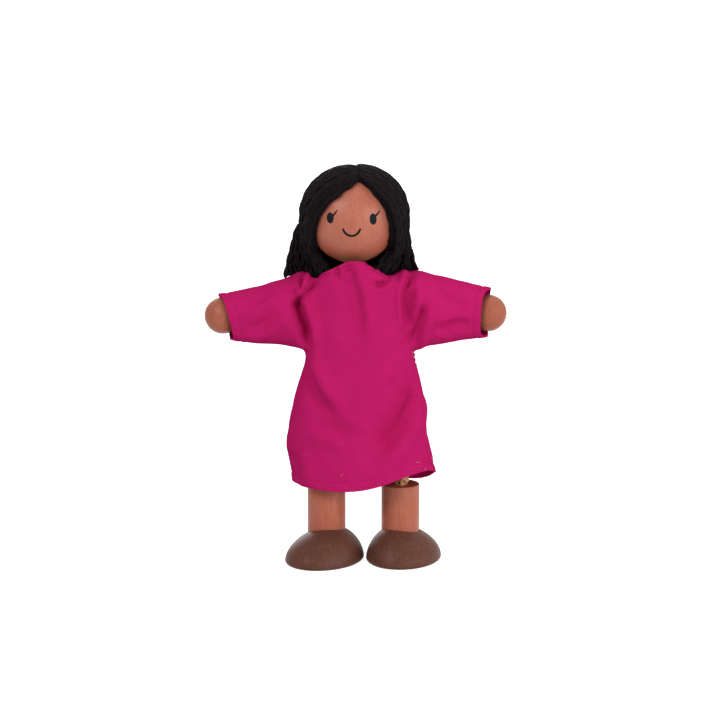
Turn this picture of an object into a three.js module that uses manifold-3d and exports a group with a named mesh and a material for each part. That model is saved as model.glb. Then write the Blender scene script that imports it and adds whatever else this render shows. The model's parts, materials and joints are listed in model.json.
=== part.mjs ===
// A bendy dollhouse figure, about 1:12 scale, in millimetres with +Z up.
// It stands on two turned shoes and faces -Y, so its own left hand points along +X.
// Turned wood makes the head, body, hands, lower legs and shoes. Wire-cored rope makes the
// arms and thighs, yarn makes the hair, and a sewn tunic covers the middle.
// The origin is on the ground, under the middle of the whole figure.

import * as THREE from "three";
import { mergeVertices } from "three/addons/utils/BufferGeometryUtils.js";
import Module from "manifold-3d";

const wasm = await Module();
wasm.setup();

// Clearances

const GAP = 0.3; // between pieces that meet, such as a rope in its bore
const CUT_MARGIN = 1; // how far a cutting shape runs past the face that it opens

// Rope and its wire

const ROPE_R = 2.2;
const WIRE_R = 0.6;
const BORE_R = ROPE_R + GAP;
const ROPE_SIDES = 10;
const WIRE_SIDES = 6;
const ARM_STEPS = 16;
const LEG_STEPS = 12;

// Shoes, from the ground up

const SHOE_LENGTH = 30.4;
const SHOE_WIDTH = 24.2;
const SHOE_HEIGHT = 11.5;
const SHOE_WIDEST_Z = 0.9;
const SOLE_RATIO = 0.95; // size of the sole beside the widest outline
const DOME_POWER = 1.75; // how full the dome is; 2 is an ellipse
const SHOE_MIDDLE = { left: [1.1, -1.6], right: [-0.65, -3.4] }; // from the leg, seen from above
const SHOE_TOP = { left: [-2.2, -0.5], right: [2, 0.6] }; // the dome's top, from the shoe's middle
const SHOE_TURN = { left: -17, right: -30 }; // degrees; both toes point to the figure's own right
const SHOE_FLOOR = 4; // wood left under the socket

// Lower legs

const LEG_R = 6.25;
const LEG_LENGTH = 20.8;
const LEG_Y = -1.5;
const LEG_X = { left: 14.7, right: -9.55 };
const LEG_CHAMFER = 0.4;
const ROPE_IN_LEG = 8;
const LEG_BOTTOM_Z = SHOE_FLOOR + GAP;
const LEG_TOP_Z = LEG_BOTTOM_Z + LEG_LENGTH;

// Leg ropes and where they bend

const LEG_ROPE_SPAN = 28.9; // bare rope between the lower leg and the body
const ROPE_IN_BODY = 9;
const HIP_X = 5.6; // from the middle of the body to each leg rope
const HIP_BELOW_BODY = 3;
const SWING_BELOW_HIP = 5;
const KNEE_ABOVE_LEG = 2.2;
const ROPE_BOW = { left: 2.4, right: -0.6 }; // how far the rope bulges sideways
const BODY_BOTTOM_Z = LEG_TOP_Z + LEG_ROPE_SPAN;
const HIP_BEND_Z = BODY_BOTTOM_Z - HIP_BELOW_BODY;
const SWING_BEND_Z = HIP_BEND_Z - SWING_BELOW_HIP;
const KNEE_Z = LEG_TOP_Z + KNEE_ABOVE_LEG;

// Body

const BODY_LENGTH = 42.8;
const BODY_R = 11;
const BODY_WAIST_R = 9.8;
const BODY_EDGE_ROUND = 3;
const SHOULDER_ROUND = 6;
const BODY_TOP_Z = BODY_BOTTOM_Z + BODY_LENGTH;

// Arms: the rope runs through the body from hand to hand

const ARM_BORE_BELOW_TOP = 10.8;
const SHOULDER_OUT = 2; // from the body's side to where each arm starts to bend
const UPPER_ARM = 14;
const FOREARM = 16; // from the bend to the middle of the hand
const HAND_R = 6;
const HAND_DROP = { left: 4.3, right: 5.1 }; // below the bore through the body
const ROPE_IN_HAND = 5;
const ARM_BORE_Z = BODY_TOP_Z - ARM_BORE_BELOW_TOP;
const SHOULDER_X = BODY_R + SHOULDER_OUT;
const ELBOW_X = SHOULDER_X + UPPER_ARM;
const HAND_X = ELBOW_X + FOREARM;

// Head and neck

const HEAD_R = 15;
const HEAD_X = -0.8; // the figure leans a little to its own right
const NECK_SPACE = 1.2; // from the top of the body to the underside of the head
const NECK_PEG_R = 3;
const NECK_PEG_IN_HEAD = 9;
const NECK_PEG_IN_BODY = 6.5;
const HEAD_CHIN_Z = BODY_TOP_Z + NECK_SPACE;
const HEAD_Z = HEAD_CHIN_Z + HEAD_R;

// Tunic: half sizes of its outline at six levels, and where its middle lies

const CLOTH = 0.8;
const HEM_BELOW_LEG_TOP = 0.3;
const HEM_RISE = 3.6; // how much higher the hem is at the sides
const HEM_BACK_RISE = -0.2;
const HEM_SKEW = 1.7; // the hem hangs higher at the figure's own left
const HEM_HALF = { width: 23.4, depth: 14.4, x: 2.2 };
const SKIRT_HALF = { width: 23.2, depth: 14.1, x: 0.9 };
const HIP_HALF = { width: 21.8, depth: 13.7, x: 0.7 };
const WAIST_HALF = { width: 17.8, depth: BODY_R + 1.9, x: 1.3 };
const CHEST_HALF = { width: 16.8, depth: BODY_R + 1.9, x: 0.7 };
const NECK_HALF = { width: 12.6, depth: BODY_R + 1.3, x: -1.8 };
const SQUARE = { skirt: 2.2, chest: 2.7 }; // how square it is seen from above; 2 is an ellipse
const HEM_Z = LEG_TOP_Z - HEM_BELOW_LEG_TOP;
const HIP_LEVEL_Z = BODY_BOTTOM_Z - 6;
const SKIRT_LEVEL_Z = (HEM_Z + HIP_LEVEL_Z) / 2;
const WAIST_LEVEL_Z = BODY_BOTTOM_Z + 13;
const CHEST_LEVEL_Z = ARM_BORE_Z - 2;
const NECK_SIDE_Z = BODY_TOP_Z - 3.4;
const NECK_FRONT_Z = HEAD_CHIN_Z + 3.4; // the front stands up against the head
const NECK_BACK_Z = BODY_TOP_Z - 1.6;
const SKIRT_TOP_Z = WAIST_LEVEL_Z - 1;

// Sleeves

const ARMHOLE_X = BODY_R + 9.2;
const SLEEVE_END_X = HAND_X;
const SLEEVE_INNER_X = BODY_R - 1;
const SLEEVE_ROOT = { height: 14, depth: BODY_R + 0.6, z: ARM_BORE_Z - 3.6 };
const SLEEVE_CUFF = { height: HAND_R + 2.2, depth: HAND_R + 1.5, above: { left: 0.4, right: -0.2 } };
const CUFF_SLOPE = { left: 0.1, right: 0.26 }; // the cuff's lower edge is nearer the body

// Hair: how far it stands off the head, and how it falls

const HAIR_ON_TOP = 3.6;
const HAIR_AT_SIDE = { left: 3.7, right: 3.1 };
const HAIR_AT_BACK = 4.9;
const HAIR_AT_FRONT = 2.6;
const HAIR_CAP_BELOW = 7; // the cap ends this far under the middle of the head
const HAIR_WAVE = 0.35;
const PARTING_DEPTH = 1.8; // the yarn lies lower along its parting, over the crown
const PARTING_WIDTH = 5;
const PARTING_X = 0.6; // from the middle of the head
const PARTING_END_Z = 6; // the parting runs out this far over the middle of the head
const FALL_END_ROUND = 1.4; // how far the ends draw in
const FALL_SPREAD = { left: 2.2, right: 3.8, back: -3.3 }; // beyond the cap, at the ends
const FALL_SPLIT = THREE.MathUtils.degToRad(52); // from the side to where the back fall begins
const HAIR_TOP_Z = HEAD_Z + HEAD_R + HAIR_ON_TOP;
const HAIR_CAP_Z = HEAD_Z - HAIR_CAP_BELOW;
const FALL_BOTTOM_Z = NECK_SIDE_Z + 0.2;
const FALL_BACK_Z = ARM_BORE_Z + 2; // the longer yarn behind hangs over the tunic's back

// Bare face, seen square to a line of sight that looks down by the tilt

const FACE_TILT = THREE.MathUtils.degToRad(11.4);
const FACE_HALF_WIDTH = HEAD_R - 2.6;
const FACE_PARTING = [3.1, HEAD_R - 2.6];
const FACE_LOW = -0.53 * HEAD_R;
const FACE_SKEW = 0.8; // the hair covers a little more at the figure's own right

const SIDE = { left: 1, right: -1 };

// Colours

const wood = { roughness: 0.45, metalness: 0 };
const SKIN = new THREE.MeshStandardMaterial({ color: 0xa9674f, ...wood });
const SHOE_BROWN = new THREE.MeshStandardMaterial({ color: 0x6e4b45, roughness: 0.35 });
const PLAIN_WOOD = new THREE.MeshStandardMaterial({ color: 0xc9a070, ...wood });
const ROPE_GOLD = new THREE.MeshStandardMaterial({ color: 0xa9794e, roughness: 0.9 });
const WIRE_STEEL = new THREE.MeshStandardMaterial({ color: 0x9a9a98, roughness: 0.35, metalness: 1 });
const YARN_BLACK = new THREE.MeshStandardMaterial({ color: 0x1c1413, roughness: 0.85 });
const TUNIC_PINK = new THREE.MeshStandardMaterial({ color: 0xbe1e62, roughness: 0.85 });

const figure = new THREE.Group();

// Solids from three.js geometry, and back

function solid(geometry) {
  const bare = geometry.clone();
  bare.deleteAttribute("normal");
  bare.deleteAttribute("uv");
  const merged = mergeVertices(bare, 1e-4);
  const corners = merged.index.array;
  const kept = [];
  for (let i = 0; i < corners.length; i += 3) {
    const [a, b, c] = [corners[i], corners[i + 1], corners[i + 2]];
    if (a !== b && b !== c && c !== a) kept.push(a, b, c);
  }
  return new wasm.Manifold(new wasm.Mesh({
    numProp: 3,
    vertProperties: new Float32Array(merged.attributes.position.array),
    triVerts: new Uint32Array(kept),
  }));
}

function add(name, material, body) {
  const mesh = body.getMesh();
  const geometry = new THREE.BufferGeometry();
  geometry.setAttribute("position", new THREE.BufferAttribute(mesh.vertProperties, 3));
  geometry.setIndex(new THREE.BufferAttribute(mesh.triVerts, 1));
  geometry.computeVertexNormals();
  const piece = new THREE.Mesh(geometry, material);
  piece.name = name;
  figure.add(piece);
}

// A turned solid from a profile of [radius, height], from the lower end to the upper one
function turned(profile, segments = 28) {
  const points = profile.map(([radius, height]) => new THREE.Vector2(radius, height));
  return new THREE.LatheGeometry(points, segments).rotateX(Math.PI / 2);
}

// Points of an arc about [radius, height], as angles from the outward direction
function arc(centre, radius, from, to, steps) {
  const points = [];
  for (let i = 0; i <= steps; i++) {
    const angle = THREE.MathUtils.degToRad(from + ((to - from) * i) / steps);
    points.push([centre[0] + radius * Math.cos(angle), centre[1] + radius * Math.sin(angle)]);
  }
  return points;
}

// A closed skin over rings of points, with a fan at each end
function loft(rings) {
  const count = rings[0].length;
  const points = rings.flat();
  const triangles = [];
  for (let k = 0; k + 1 < rings.length; k++) {
    for (let j = 0; j < count; j++) {
      const next = (j + 1) % count;
      const [a, b] = [k * count + j, k * count + next];
      triangles.push(a, b, b + count, a, b + count, a + count);
    }
  }
  for (const [ring, first, turn] of [[rings[0], 0, 1], [rings.at(-1), points.length - count, 0]]) {
    const middle = ring.reduce((sum, p) => sum.add(p), new THREE.Vector3());
    points.push(middle.divideScalar(count));
    for (let j = 0; j < count; j++) {
      const pair = [first + j, first + ((j + 1) % count)];
      triangles.push(points.length - 1, pair[turn], pair[1 - turn]);
    }
  }
  const geometry = new THREE.BufferGeometry().setFromPoints(points);
  geometry.setIndex(triangles);
  const body = solid(geometry);
  if (body.volume() > 0) return body;
  geometry.setIndex(triangles.toReversed());
  return solid(geometry);
}

// A box between two corners, for cutting
function block(low, high) {
  const size = high.map((value, i) => value - low[i]);
  const middle = high.map((value, i) => (value + low[i]) / 2);
  return solid(new THREE.BoxGeometry(...size).translate(...middle));
}

const FAR = 300; // past everything

function slab(axis, from, to) {
  const low = [-FAR, -FAR, -FAR];
  const high = [FAR, FAR, FAR];
  low[axis] = from;
  high[axis] = to;
  return block(low, high);
}

// A round rod along a curve, from inner to outer radius
function tube(curve, radius, bore, sides, steps) {
  const shape = new THREE.Shape(new THREE.Path().absarc(0, 0, radius, 0, 2 * Math.PI).getSpacedPoints(sides));
  if (bore > 0) {
    const hole = new THREE.Path().absarc(0, 0, bore, 0, 2 * Math.PI).getSpacedPoints(WIRE_SIDES);
    shape.holes.push(new THREE.Path(hole));
  }
  return solid(new THREE.ExtrudeGeometry(shape, { steps, extrudePath: curve }));
}

// Head: a turned ball with a blind bore for the neck peg

function headBall(radius) {
  return turned([[0, -radius], ...arc([0, 0], radius, -81, 81, 14), [0, radius]], 32);
}

function head() {
  const bore = turned([
    [0, BODY_TOP_Z],
    [NECK_PEG_R + GAP, BODY_TOP_Z],
    [NECK_PEG_R + GAP, HEAD_CHIN_Z + NECK_PEG_IN_HEAD + GAP],
    [0, HEAD_CHIN_Z + NECK_PEG_IN_HEAD + GAP],
  ], 16);
  const ball = headBall(HEAD_R).translate(HEAD_X, 0, HEAD_Z);
  return solid(ball).subtract(solid(bore.translate(HEAD_X, 0, 0)));
}

function neckPeg() {
  const profile = [
    [0, BODY_TOP_Z - NECK_PEG_IN_BODY],
    [NECK_PEG_R, BODY_TOP_Z - NECK_PEG_IN_BODY],
    [NECK_PEG_R, HEAD_CHIN_Z + NECK_PEG_IN_HEAD],
    [0, HEAD_CHIN_Z + NECK_PEG_IN_HEAD],
  ];
  return solid(turned(profile, 16).translate(HEAD_X, 0, 0));
}

// Body: a turned block, bored across for the arm rope and from below for the leg ropes

function legBoreTop() {
  return BODY_BOTTOM_Z + ROPE_IN_BODY + GAP;
}

function torso() {
  const block = solid(turned([
    [0, BODY_BOTTOM_Z],
    ...arc([BODY_R - BODY_EDGE_ROUND, BODY_BOTTOM_Z + BODY_EDGE_ROUND], BODY_EDGE_ROUND, -90, 0, 4),
    [BODY_WAIST_R, (BODY_BOTTOM_Z + ARM_BORE_Z) / 2],
    ...arc([BODY_R - SHOULDER_ROUND, BODY_TOP_Z - SHOULDER_ROUND], SHOULDER_ROUND, 0, 90, 6),
    [0, BODY_TOP_Z],
  ]));
  const across = new THREE.CylinderGeometry(BORE_R, BORE_R, 3 * BODY_R, 16);
  const socket = new THREE.CylinderGeometry(
    NECK_PEG_R + GAP, NECK_PEG_R + GAP, NECK_PEG_IN_BODY + GAP + CUT_MARGIN, 16);
  const socketZ = BODY_TOP_Z + CUT_MARGIN - (NECK_PEG_IN_BODY + GAP + CUT_MARGIN) / 2;
  let body = block
    .subtract(solid(across.rotateZ(Math.PI / 2).translate(0, 0, ARM_BORE_Z)))
    .subtract(solid(socket.rotateX(Math.PI / 2).translate(HEAD_X, 0, socketZ)));
  for (const side of Object.values(SIDE)) {
    const depth = ROPE_IN_BODY + GAP + CUT_MARGIN;
    const bore = new THREE.CylinderGeometry(BORE_R, BORE_R, depth, 16).rotateX(Math.PI / 2);
    body = body.subtract(solid(bore.translate(side * HIP_X, 0, legBoreTop() - depth / 2)));
  }
  return body;
}

// Arm rope: straight through the body, then drooping to each hand

function armCurve() {
  const drop = (x, side) => (HAND_DROP[side] * (x - SHOULDER_X)) / (HAND_X - SHOULDER_X);
  const end = HAND_X - HAND_R + ROPE_IN_HAND;
  const points = [];
  for (const x of [end, ELBOW_X, (ELBOW_X + SHOULDER_X) / 2, SHOULDER_X]) {
    points.push(new THREE.Vector3(-x, 0, ARM_BORE_Z - drop(x, "right")));
  }
  points.push(new THREE.Vector3(0, 0, ARM_BORE_Z));
  for (const x of [SHOULDER_X, (ELBOW_X + SHOULDER_X) / 2, ELBOW_X, end]) {
    points.push(new THREE.Vector3(x, 0, ARM_BORE_Z - drop(x, "left")));
  }
  return new THREE.CatmullRomCurve3(points, false, "centripetal");
}

function addArms() {
  const curve = armCurve();
  const rope = tube(curve, ROPE_R, WIRE_R + GAP, ROPE_SIDES, ARM_STEPS);
  const wire = tube(curve, WIRE_R, 0, WIRE_SIDES, ARM_STEPS);
  const half = GAP / 2;
  const stretches = [["arm", "middle", -SHOULDER_X + half, SHOULDER_X - half]];
  for (const [name, side] of Object.entries(SIDE)) {
    const [a, b] = [side * (SHOULDER_X + half), side * (ELBOW_X - half)];
    const [c, d] = [side * (ELBOW_X + half), side * FAR];
    stretches.push(["upper_arm", name, Math.min(a, b), Math.max(a, b)]);
    stretches.push(["forearm", name, Math.min(c, d), Math.max(c, d)]);
  }
  for (const [limb, name, from, to] of stretches) {
    add(`${limb}_rope_${name}`, ROPE_GOLD, rope.intersect(slab(0, from, to)));
    add(`${limb}_wire_${name}`, WIRE_STEEL, wire.intersect(slab(0, from, to)));
  }
}

// Hand: a turned ball with a blind bore along the rope

function hand(name) {
  const angle = Math.atan2(HAND_DROP[name], HAND_X - SHOULDER_X);
  const bore = new THREE.CylinderGeometry(BORE_R, BORE_R, 2 * HAND_R, 16).rotateZ(Math.PI / 2);
  const floor = -HAND_R + ROPE_IN_HAND + GAP; // the bore's floor, from the middle of the ball
  bore.translate(floor - HAND_R, 0, 0);
  const ball = turned([[0, -HAND_R], ...arc([0, 0], HAND_R, -75, 75, 9), [0, HAND_R]], 20);
  const place = new THREE.Matrix4().makeRotationY(angle);
  if (SIDE[name] < 0) place.premultiply(new THREE.Matrix4().makeRotationZ(Math.PI));
  const at = [SIDE[name] * HAND_X, 0, ARM_BORE_Z - HAND_DROP[name]];
  place.premultiply(new THREE.Matrix4().makeTranslation(...at));
  return solid(ball.applyMatrix4(place)).subtract(solid(bore.applyMatrix4(place)));
}

// Leg rope: from its bore in the body, bowed a little sideways, into the lower leg

function legCurve(name) {
  const side = SIDE[name];
  const [hip, foot] = [side * HIP_X, LEG_X[name]];
  const [top, low] = [BODY_BOTTOM_Z + ROPE_IN_BODY, LEG_TOP_Z - ROPE_IN_LEG];
  const middle = (hip + foot) / 2 + ROPE_BOW[name];
  const points = [
    [hip, 0, top],
    [hip, 0, BODY_BOTTOM_Z],
    [hip, 0, HIP_BEND_Z],
    [middle, LEG_Y / 2, (HIP_BEND_Z + KNEE_Z) / 2],
    [foot + ROPE_BOW[name] / 4, LEG_Y, KNEE_Z],
    [foot, LEG_Y, LEG_TOP_Z],
    [foot, LEG_Y, low],
  ].map((p) => new THREE.Vector3(...p));
  return new THREE.CatmullRomCurve3(points, false, "centripetal");
}

function addLegRopes(name) {
  const curve = legCurve(name);
  const rope = tube(curve, ROPE_R, WIRE_R + GAP, ROPE_SIDES, LEG_STEPS);
  const wire = tube(curve, WIRE_R, 0, WIRE_SIDES, LEG_STEPS);
  const half = GAP / 2;
  const stretches = [
    ["hip", SWING_BEND_Z + half, FAR],
    ["thigh", KNEE_Z + half, SWING_BEND_Z - half],
    ["shin", -FAR, KNEE_Z - half],
  ];
  for (const [limb, from, to] of stretches) {
    add(`${limb}_rope_${name}`, ROPE_GOLD, rope.intersect(slab(2, from, to)));
    add(`${limb}_wire_${name}`, WIRE_STEEL, wire.intersect(slab(2, from, to)));
  }
}

function lowerLeg(name) {
  const bore = LEG_TOP_Z - ROPE_IN_LEG - GAP;
  return solid(turned([
    [0, LEG_BOTTOM_Z],
    [LEG_R - LEG_CHAMFER, LEG_BOTTOM_Z],
    [LEG_R, LEG_BOTTOM_Z + LEG_CHAMFER],
    [LEG_R, LEG_TOP_Z - LEG_CHAMFER],
    [LEG_R - LEG_CHAMFER, LEG_TOP_Z],
    [BORE_R, LEG_TOP_Z],
    [BORE_R, bore],
    [0, bore],
  ], 28).translate(LEG_X[name], LEG_Y, 0));
}

// Shoe: a dome on an oval sole, longer than wide, with a socket for the lower leg
function shoe(name) {
  const rings = [];
  const count = 30;
  const turn = THREE.MathUtils.degToRad(SHOE_TURN[name]);
  const ring = (size, z, rise) => {
    const [x, y] = SHOE_MIDDLE[name].map((value, i) => value + SHOE_TOP[name][i] * rise ** 2);
    const points = [];
    for (let j = 0; j < count; j++) {
      const a = (2 * Math.PI * j) / count;
      const across = (SHOE_WIDTH / 2) * size * Math.cos(a);
      const along = (SHOE_LENGTH / 2) * size * Math.sin(a);
      const point = new THREE.Vector2(across, along).rotateAround(new THREE.Vector2(), turn);
      points.push(new THREE.Vector3(point.x + x, point.y + y, z));
    }
    rings.push(points);
  };
  ring(SOLE_RATIO, 0, 0);
  ring((1 + SOLE_RATIO) / 2 + 0.01, SHOE_WIDEST_Z / 3, 0);
  const steps = 9;
  for (let i = 0; i < steps; i++) {
    const lift = (Math.PI / 2) * (i / steps);
    const rise = Math.sin(lift) ** (2 / DOME_POWER);
    const z = SHOE_WIDEST_Z + (SHOE_HEIGHT - SHOE_WIDEST_Z) * rise;
    ring(Math.cos(lift) ** (2 / DOME_POWER), z, rise);
  }
  ring(0.03, SHOE_HEIGHT, 1);
  const depth = SHOE_HEIGHT - SHOE_FLOOR + CUT_MARGIN;
  const socket = new THREE.CylinderGeometry(LEG_R + GAP, LEG_R + GAP, depth, 28);
  socket.rotateX(Math.PI / 2).translate(0, 0, SHOE_FLOOR + depth / 2);
  return loft(rings).subtract(solid(socket)).translate([LEG_X[name], LEG_Y, 0]);
}

// Tunic: one shell, cut where it bends, so that every piece has the same outline

// Main folds of the front and the back. A line's points are [across, up]: across is a share of
// the half width from the middle, and up a share of the height from the hem to the collar.
// The cloth dips by deep along the line, and rises by rise beside it, on the steeper side.
const FOLDS = {
  front: [
    { line: [[-1.23, 0.86], [-0.98, 0.7], [-0.93, 0.6]], wide: 1.7, deep: 3.6, rise: 1.2 },
    { line: [[-0.9, 0.92], [-1.02, 0.86], [-1.2, 0.8]], wide: 1.3, deep: 1.6, rise: -0.9 },
    { line: [[-0.24, 1], [-0.04, 0.83], [0, 0.65]], wide: 2, deep: 0.7, rise: 0.9 },
    { line: [[1.1, 0.94], [0.87, 0.83], [0.9, 0.72]], wide: 1.4, deep: 1.6, rise: -0.8 },
    { line: [[1.28, 0.81], [1, 0.6]], wide: 1.7, deep: 2, rise: 0.9 },
    { line: [[-1.06, 0.57], [-0.72, 0.41], [-0.34, 0.31]], wide: 2.4, deep: 2, rise: 1.3 },
    { line: [[-0.68, 0.28], [-0.1, 0.24]], wide: 2.2, deep: 0.9, rise: -0.6 },
    { line: [[0.99, 0.47], [0.69, 0.3], [0.21, 0.15]], wide: 2.9, deep: 3.2, rise: 1.1 },
    { line: [[-0.94, 0.17], [-0.9, 0]], wide: 2.4, deep: 1.1, rise: 0.7 },
  ],
  back: [
    { line: [[-0.58, 0.9], [-0.36, 0.54], [-0.3, 0.36]], wide: 2.7, deep: 1.4, rise: 0.9 },
    { line: [[0.4, 0.9], [0.25, 0.49], [0.25, 0.25]], wide: 2.9, deep: 1.5, rise: -0.9 },
    { line: [[-0.97, 0.86], [-0.92, 0.62]], wide: 1.8, deep: 2, rise: 1 },
    { line: [[0.98, 0.86], [0.9, 0.6]], wide: 1.8, deep: 2, rise: -1 },
    { line: [[-0.75, 0.41], [-0.62, 0]], wide: 3, deep: 1.8, rise: 1 },
    { line: [[-0.02, 0.33], [0, -0.04]], wide: 3, deep: 1.5, rise: 0.8 },
    { line: [[0.66, 0.43], [0.56, 0]], wide: 3, deep: 1.9, rise: -1.1 },
  ],
};
const FOLD_ENDS = { start: 0.22, end: 0.3 }; // shares of a line over which its fold comes and goes

// How far one fold moves the cloth outwards at a point of its panel
function foldAt(x, z, { line, wide, deep, rise }) {
  const step = THREE.MathUtils.smoothstep;
  const points = line.map(([across, up]) => {
    const height = HEM_Z + up * (NECK_FRONT_Z - HEM_Z);
    const middle = outlineAt(height, "x");
    return new THREE.Vector2(middle + across * outlineAt(height, "width"), height);
  });
  const at = new THREE.Vector2(x, z);
  const lengths = points.slice(1).map((p, i) => p.distanceTo(points[i]));
  const total = lengths.reduce((sum, length) => sum + length, 0);
  let best = { away: Infinity };
  let done = 0;
  for (const [i, length] of lengths.entries()) {
    const ahead = points[i + 1].clone().sub(points[i]).divideScalar(length);
    const off = at.clone().sub(points[i]);
    const run = THREE.MathUtils.clamp(off.dot(ahead), 0, length);
    const away = off.clone().addScaledVector(ahead, -run).length();
    if (away < best.away) best = { away, aside: -off.cross(ahead), share: (done + run) / total };
    done += length;
  }
  const coming = step(best.share / FOLD_ENDS.start, 0, 1);
  const ends = 0.2 + 0.8 * coming * step((1 - best.share) / FOLD_ENDS.end, 0, 1);
  const bell = (distance, width) => Math.exp(-((distance / width) ** 2));
  const far = Math.sign(rise) * best.aside;
  const beyond = bell(Math.max(0, best.away - Math.abs(best.aside)), wide);
  const valley = -deep * bell(best.away, wide * (far > 0 ? 0.85 : 1.5));
  const ridge = Math.abs(rise) * bell(far - 1.9 * wide, 1.3 * wide);
  return (valley + ridge) * beyond * ends;
}

function foldDepth(angle, x, z) {
  const facing = THREE.MathUtils.smoothstep(0.5 - 1.6 * Math.sin(angle), 0, 1); // 1 in front
  const sum = (folds) => folds.reduce((depth, fold) => depth + foldAt(x, z, fold), 0);
  return facing * sum(FOLDS.front) + (1 - facing) * sum(FOLDS.back);
}

const BODY_LEVELS = [
  HEM_Z, SKIRT_LEVEL_Z, HIP_LEVEL_Z, WAIST_LEVEL_Z, CHEST_LEVEL_Z, NECK_SIDE_Z, NECK_FRONT_Z];
const BODY_HALVES = [HEM_HALF, SKIRT_HALF, HIP_HALF, WAIST_HALF, CHEST_HALF, NECK_HALF, NECK_HALF];

// A value of the tunic's outline at a height, eased between the levels above
function outlineAt(z, key) {
  let k = 0;
  while (k < BODY_LEVELS.length - 2 && z > BODY_LEVELS[k + 1]) k++;
  const t = (z - BODY_LEVELS[k]) / (BODY_LEVELS[k + 1] - BODY_LEVELS[k]);
  const eased = THREE.MathUtils.smoothstep(t, 0, 1);
  return THREE.MathUtils.lerp(BODY_HALVES[k][key], BODY_HALVES[k + 1][key], eased);
}

function hemHeight(angle) {
  const front = Math.max(0, -Math.sin(angle));
  const back = Math.max(0, Math.sin(angle));
  const side = 1 - front ** 3 - Math.sqrt(back);
  const skew = HEM_SKEW * Math.cos(angle) * (1 - Math.sqrt(back));
  return HEM_Z + HEM_RISE * side + HEM_BACK_RISE * back + skew;
}

function neckHeight(angle) {
  const front = Math.max(0, -Math.sin(angle));
  const back = Math.max(0, Math.sin(angle));
  return NECK_SIDE_Z + (NECK_FRONT_Z - NECK_SIDE_Z) * front ** 1.4 + (NECK_BACK_Z - NECK_SIDE_Z) * back;
}

const AROUND = 52;
const RINGS = 14;

// How far from the body's axis the tunic's outside stays at a height, clear of the wood
function clearOfBody(z, offset) {
  if (z < BODY_BOTTOM_Z - CUT_MARGIN || z > BODY_TOP_Z + GAP) return 0;
  const above = THREE.MathUtils.clamp(z - BODY_TOP_Z + SHOULDER_ROUND, 0, SHOULDER_ROUND);
  const radius = BODY_R - SHOULDER_ROUND + Math.sqrt(SHOULDER_ROUND ** 2 - above ** 2);
  return radius + GAP + CLOTH + offset;
}

// The tunic's middle, grown or shrunk by an offset and run past its ends by a margin
function bodyLoft(offset, margin) {
  const rings = [];
  for (let i = 0; i < RINGS; i++) {
    const ring = [];
    for (let j = 0; j < AROUND; j++) {
      const angle = (2 * Math.PI * j) / AROUND;
      const low = hemHeight(angle) - margin;
      const z = low + (i / (RINGS - 1)) * (neckHeight(angle) + margin - low);
      const squareness = THREE.MathUtils.smoothstep(z, SKIRT_LEVEL_Z, CHEST_LEVEL_Z);
      const power = 2 / THREE.MathUtils.lerp(SQUARE.skirt, SQUARE.chest, squareness);
      const across = Math.sign(Math.cos(angle)) * Math.abs(Math.cos(angle)) ** power;
      const ahead = Math.sign(Math.sin(angle)) * Math.abs(Math.sin(angle)) ** power;
      const middle = outlineAt(z, "x");
      const out = offset + foldDepth(angle, middle + outlineAt(z, "width") * across, z);
      const point = new THREE.Vector2(
        middle + (outlineAt(z, "width") + out) * across, (outlineAt(z, "depth") + out) * ahead);
      const clear = clearOfBody(z, offset);
      if (point.length() < clear) point.setLength(clear);
      ring.push(new THREE.Vector3(point.x, point.y, z));
    }
    rings.push(ring);
  }
  return loft(rings);
}

const SLEEVE_AROUND = 22;

function sleeveLoft(name, offset, margin) {
  const levels = [0, 0.2, 0.4, 0.6, 0.8, 1];
  const from = SLEEVE_INNER_X - margin;
  const rings = levels.map((share) => {
    const x = from + share * (SLEEVE_END_X + margin - from);
    const t = (x - SLEEVE_INNER_X) / (SLEEVE_END_X - SLEEVE_INNER_X);
    const mix = (a, b) => THREE.MathUtils.lerp(a, b, t);
    const height = mix(SLEEVE_ROOT.height, SLEEVE_CUFF.height) + offset;
    const depth = mix(SLEEVE_ROOT.depth, SLEEVE_CUFF.depth) + offset;
    const z = mix(SLEEVE_ROOT.z, ARM_BORE_Z - HAND_DROP[name] + SLEEVE_CUFF.above[name]);
    const ring = [];
    for (let j = 0; j < SLEEVE_AROUND; j++) {
      const angle = (2 * Math.PI * j) / SLEEVE_AROUND;
      const up = height * Math.sin(angle);
      const lean = CUFF_SLOPE[name] * up * Math.max(0, t);
      ring.push(new THREE.Vector3(SIDE[name] * (x + lean), depth * Math.cos(angle), z + up));
    }
    return ring;
  });
  return loft(rings);
}

function tunicShape(offset, margin) {
  let shape = bodyLoft(offset, margin);
  for (const name of Object.keys(SIDE)) shape = shape.add(sleeveLoft(name, offset, margin));
  return shape;
}

function addTunic() {
  const outer = bodyLoft(0, 0).add(sleeveLoft("left", 0, 0)).add(sleeveLoft("right", 0, 0));
  const shell = outer.subtract(tunicShape(-CLOTH, CUT_MARGIN));
  const half = GAP / 2;
  const middle = slab(0, -ARMHOLE_X, ARMHOLE_X);
  const above = shell.intersect(slab(2, SKIRT_TOP_Z + half, FAR));
  add("tunic_skirt", TUNIC_PINK, shell.intersect(slab(2, -FAR, SKIRT_TOP_Z - half)));
  add("tunic_bodice", TUNIC_PINK, above.intersect(middle));
  for (const [name, side] of Object.entries(SIDE)) {
    const span = (from, to) => slab(0, Math.min(side * from, side * to), Math.max(side * from, side * to));
    const upper = span(ARMHOLE_X + GAP, ELBOW_X - half);
    add(`tunic_sleeve_${name}`, TUNIC_PINK, above.intersect(upper));
    add(`tunic_cuff_${name}`, TUNIC_PINK, above.intersect(span(ELBOW_X + half, FAR)));
  }
}

// Hair: a cap of yarn glued to the ball, parted at the front, and three falls below it

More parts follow.
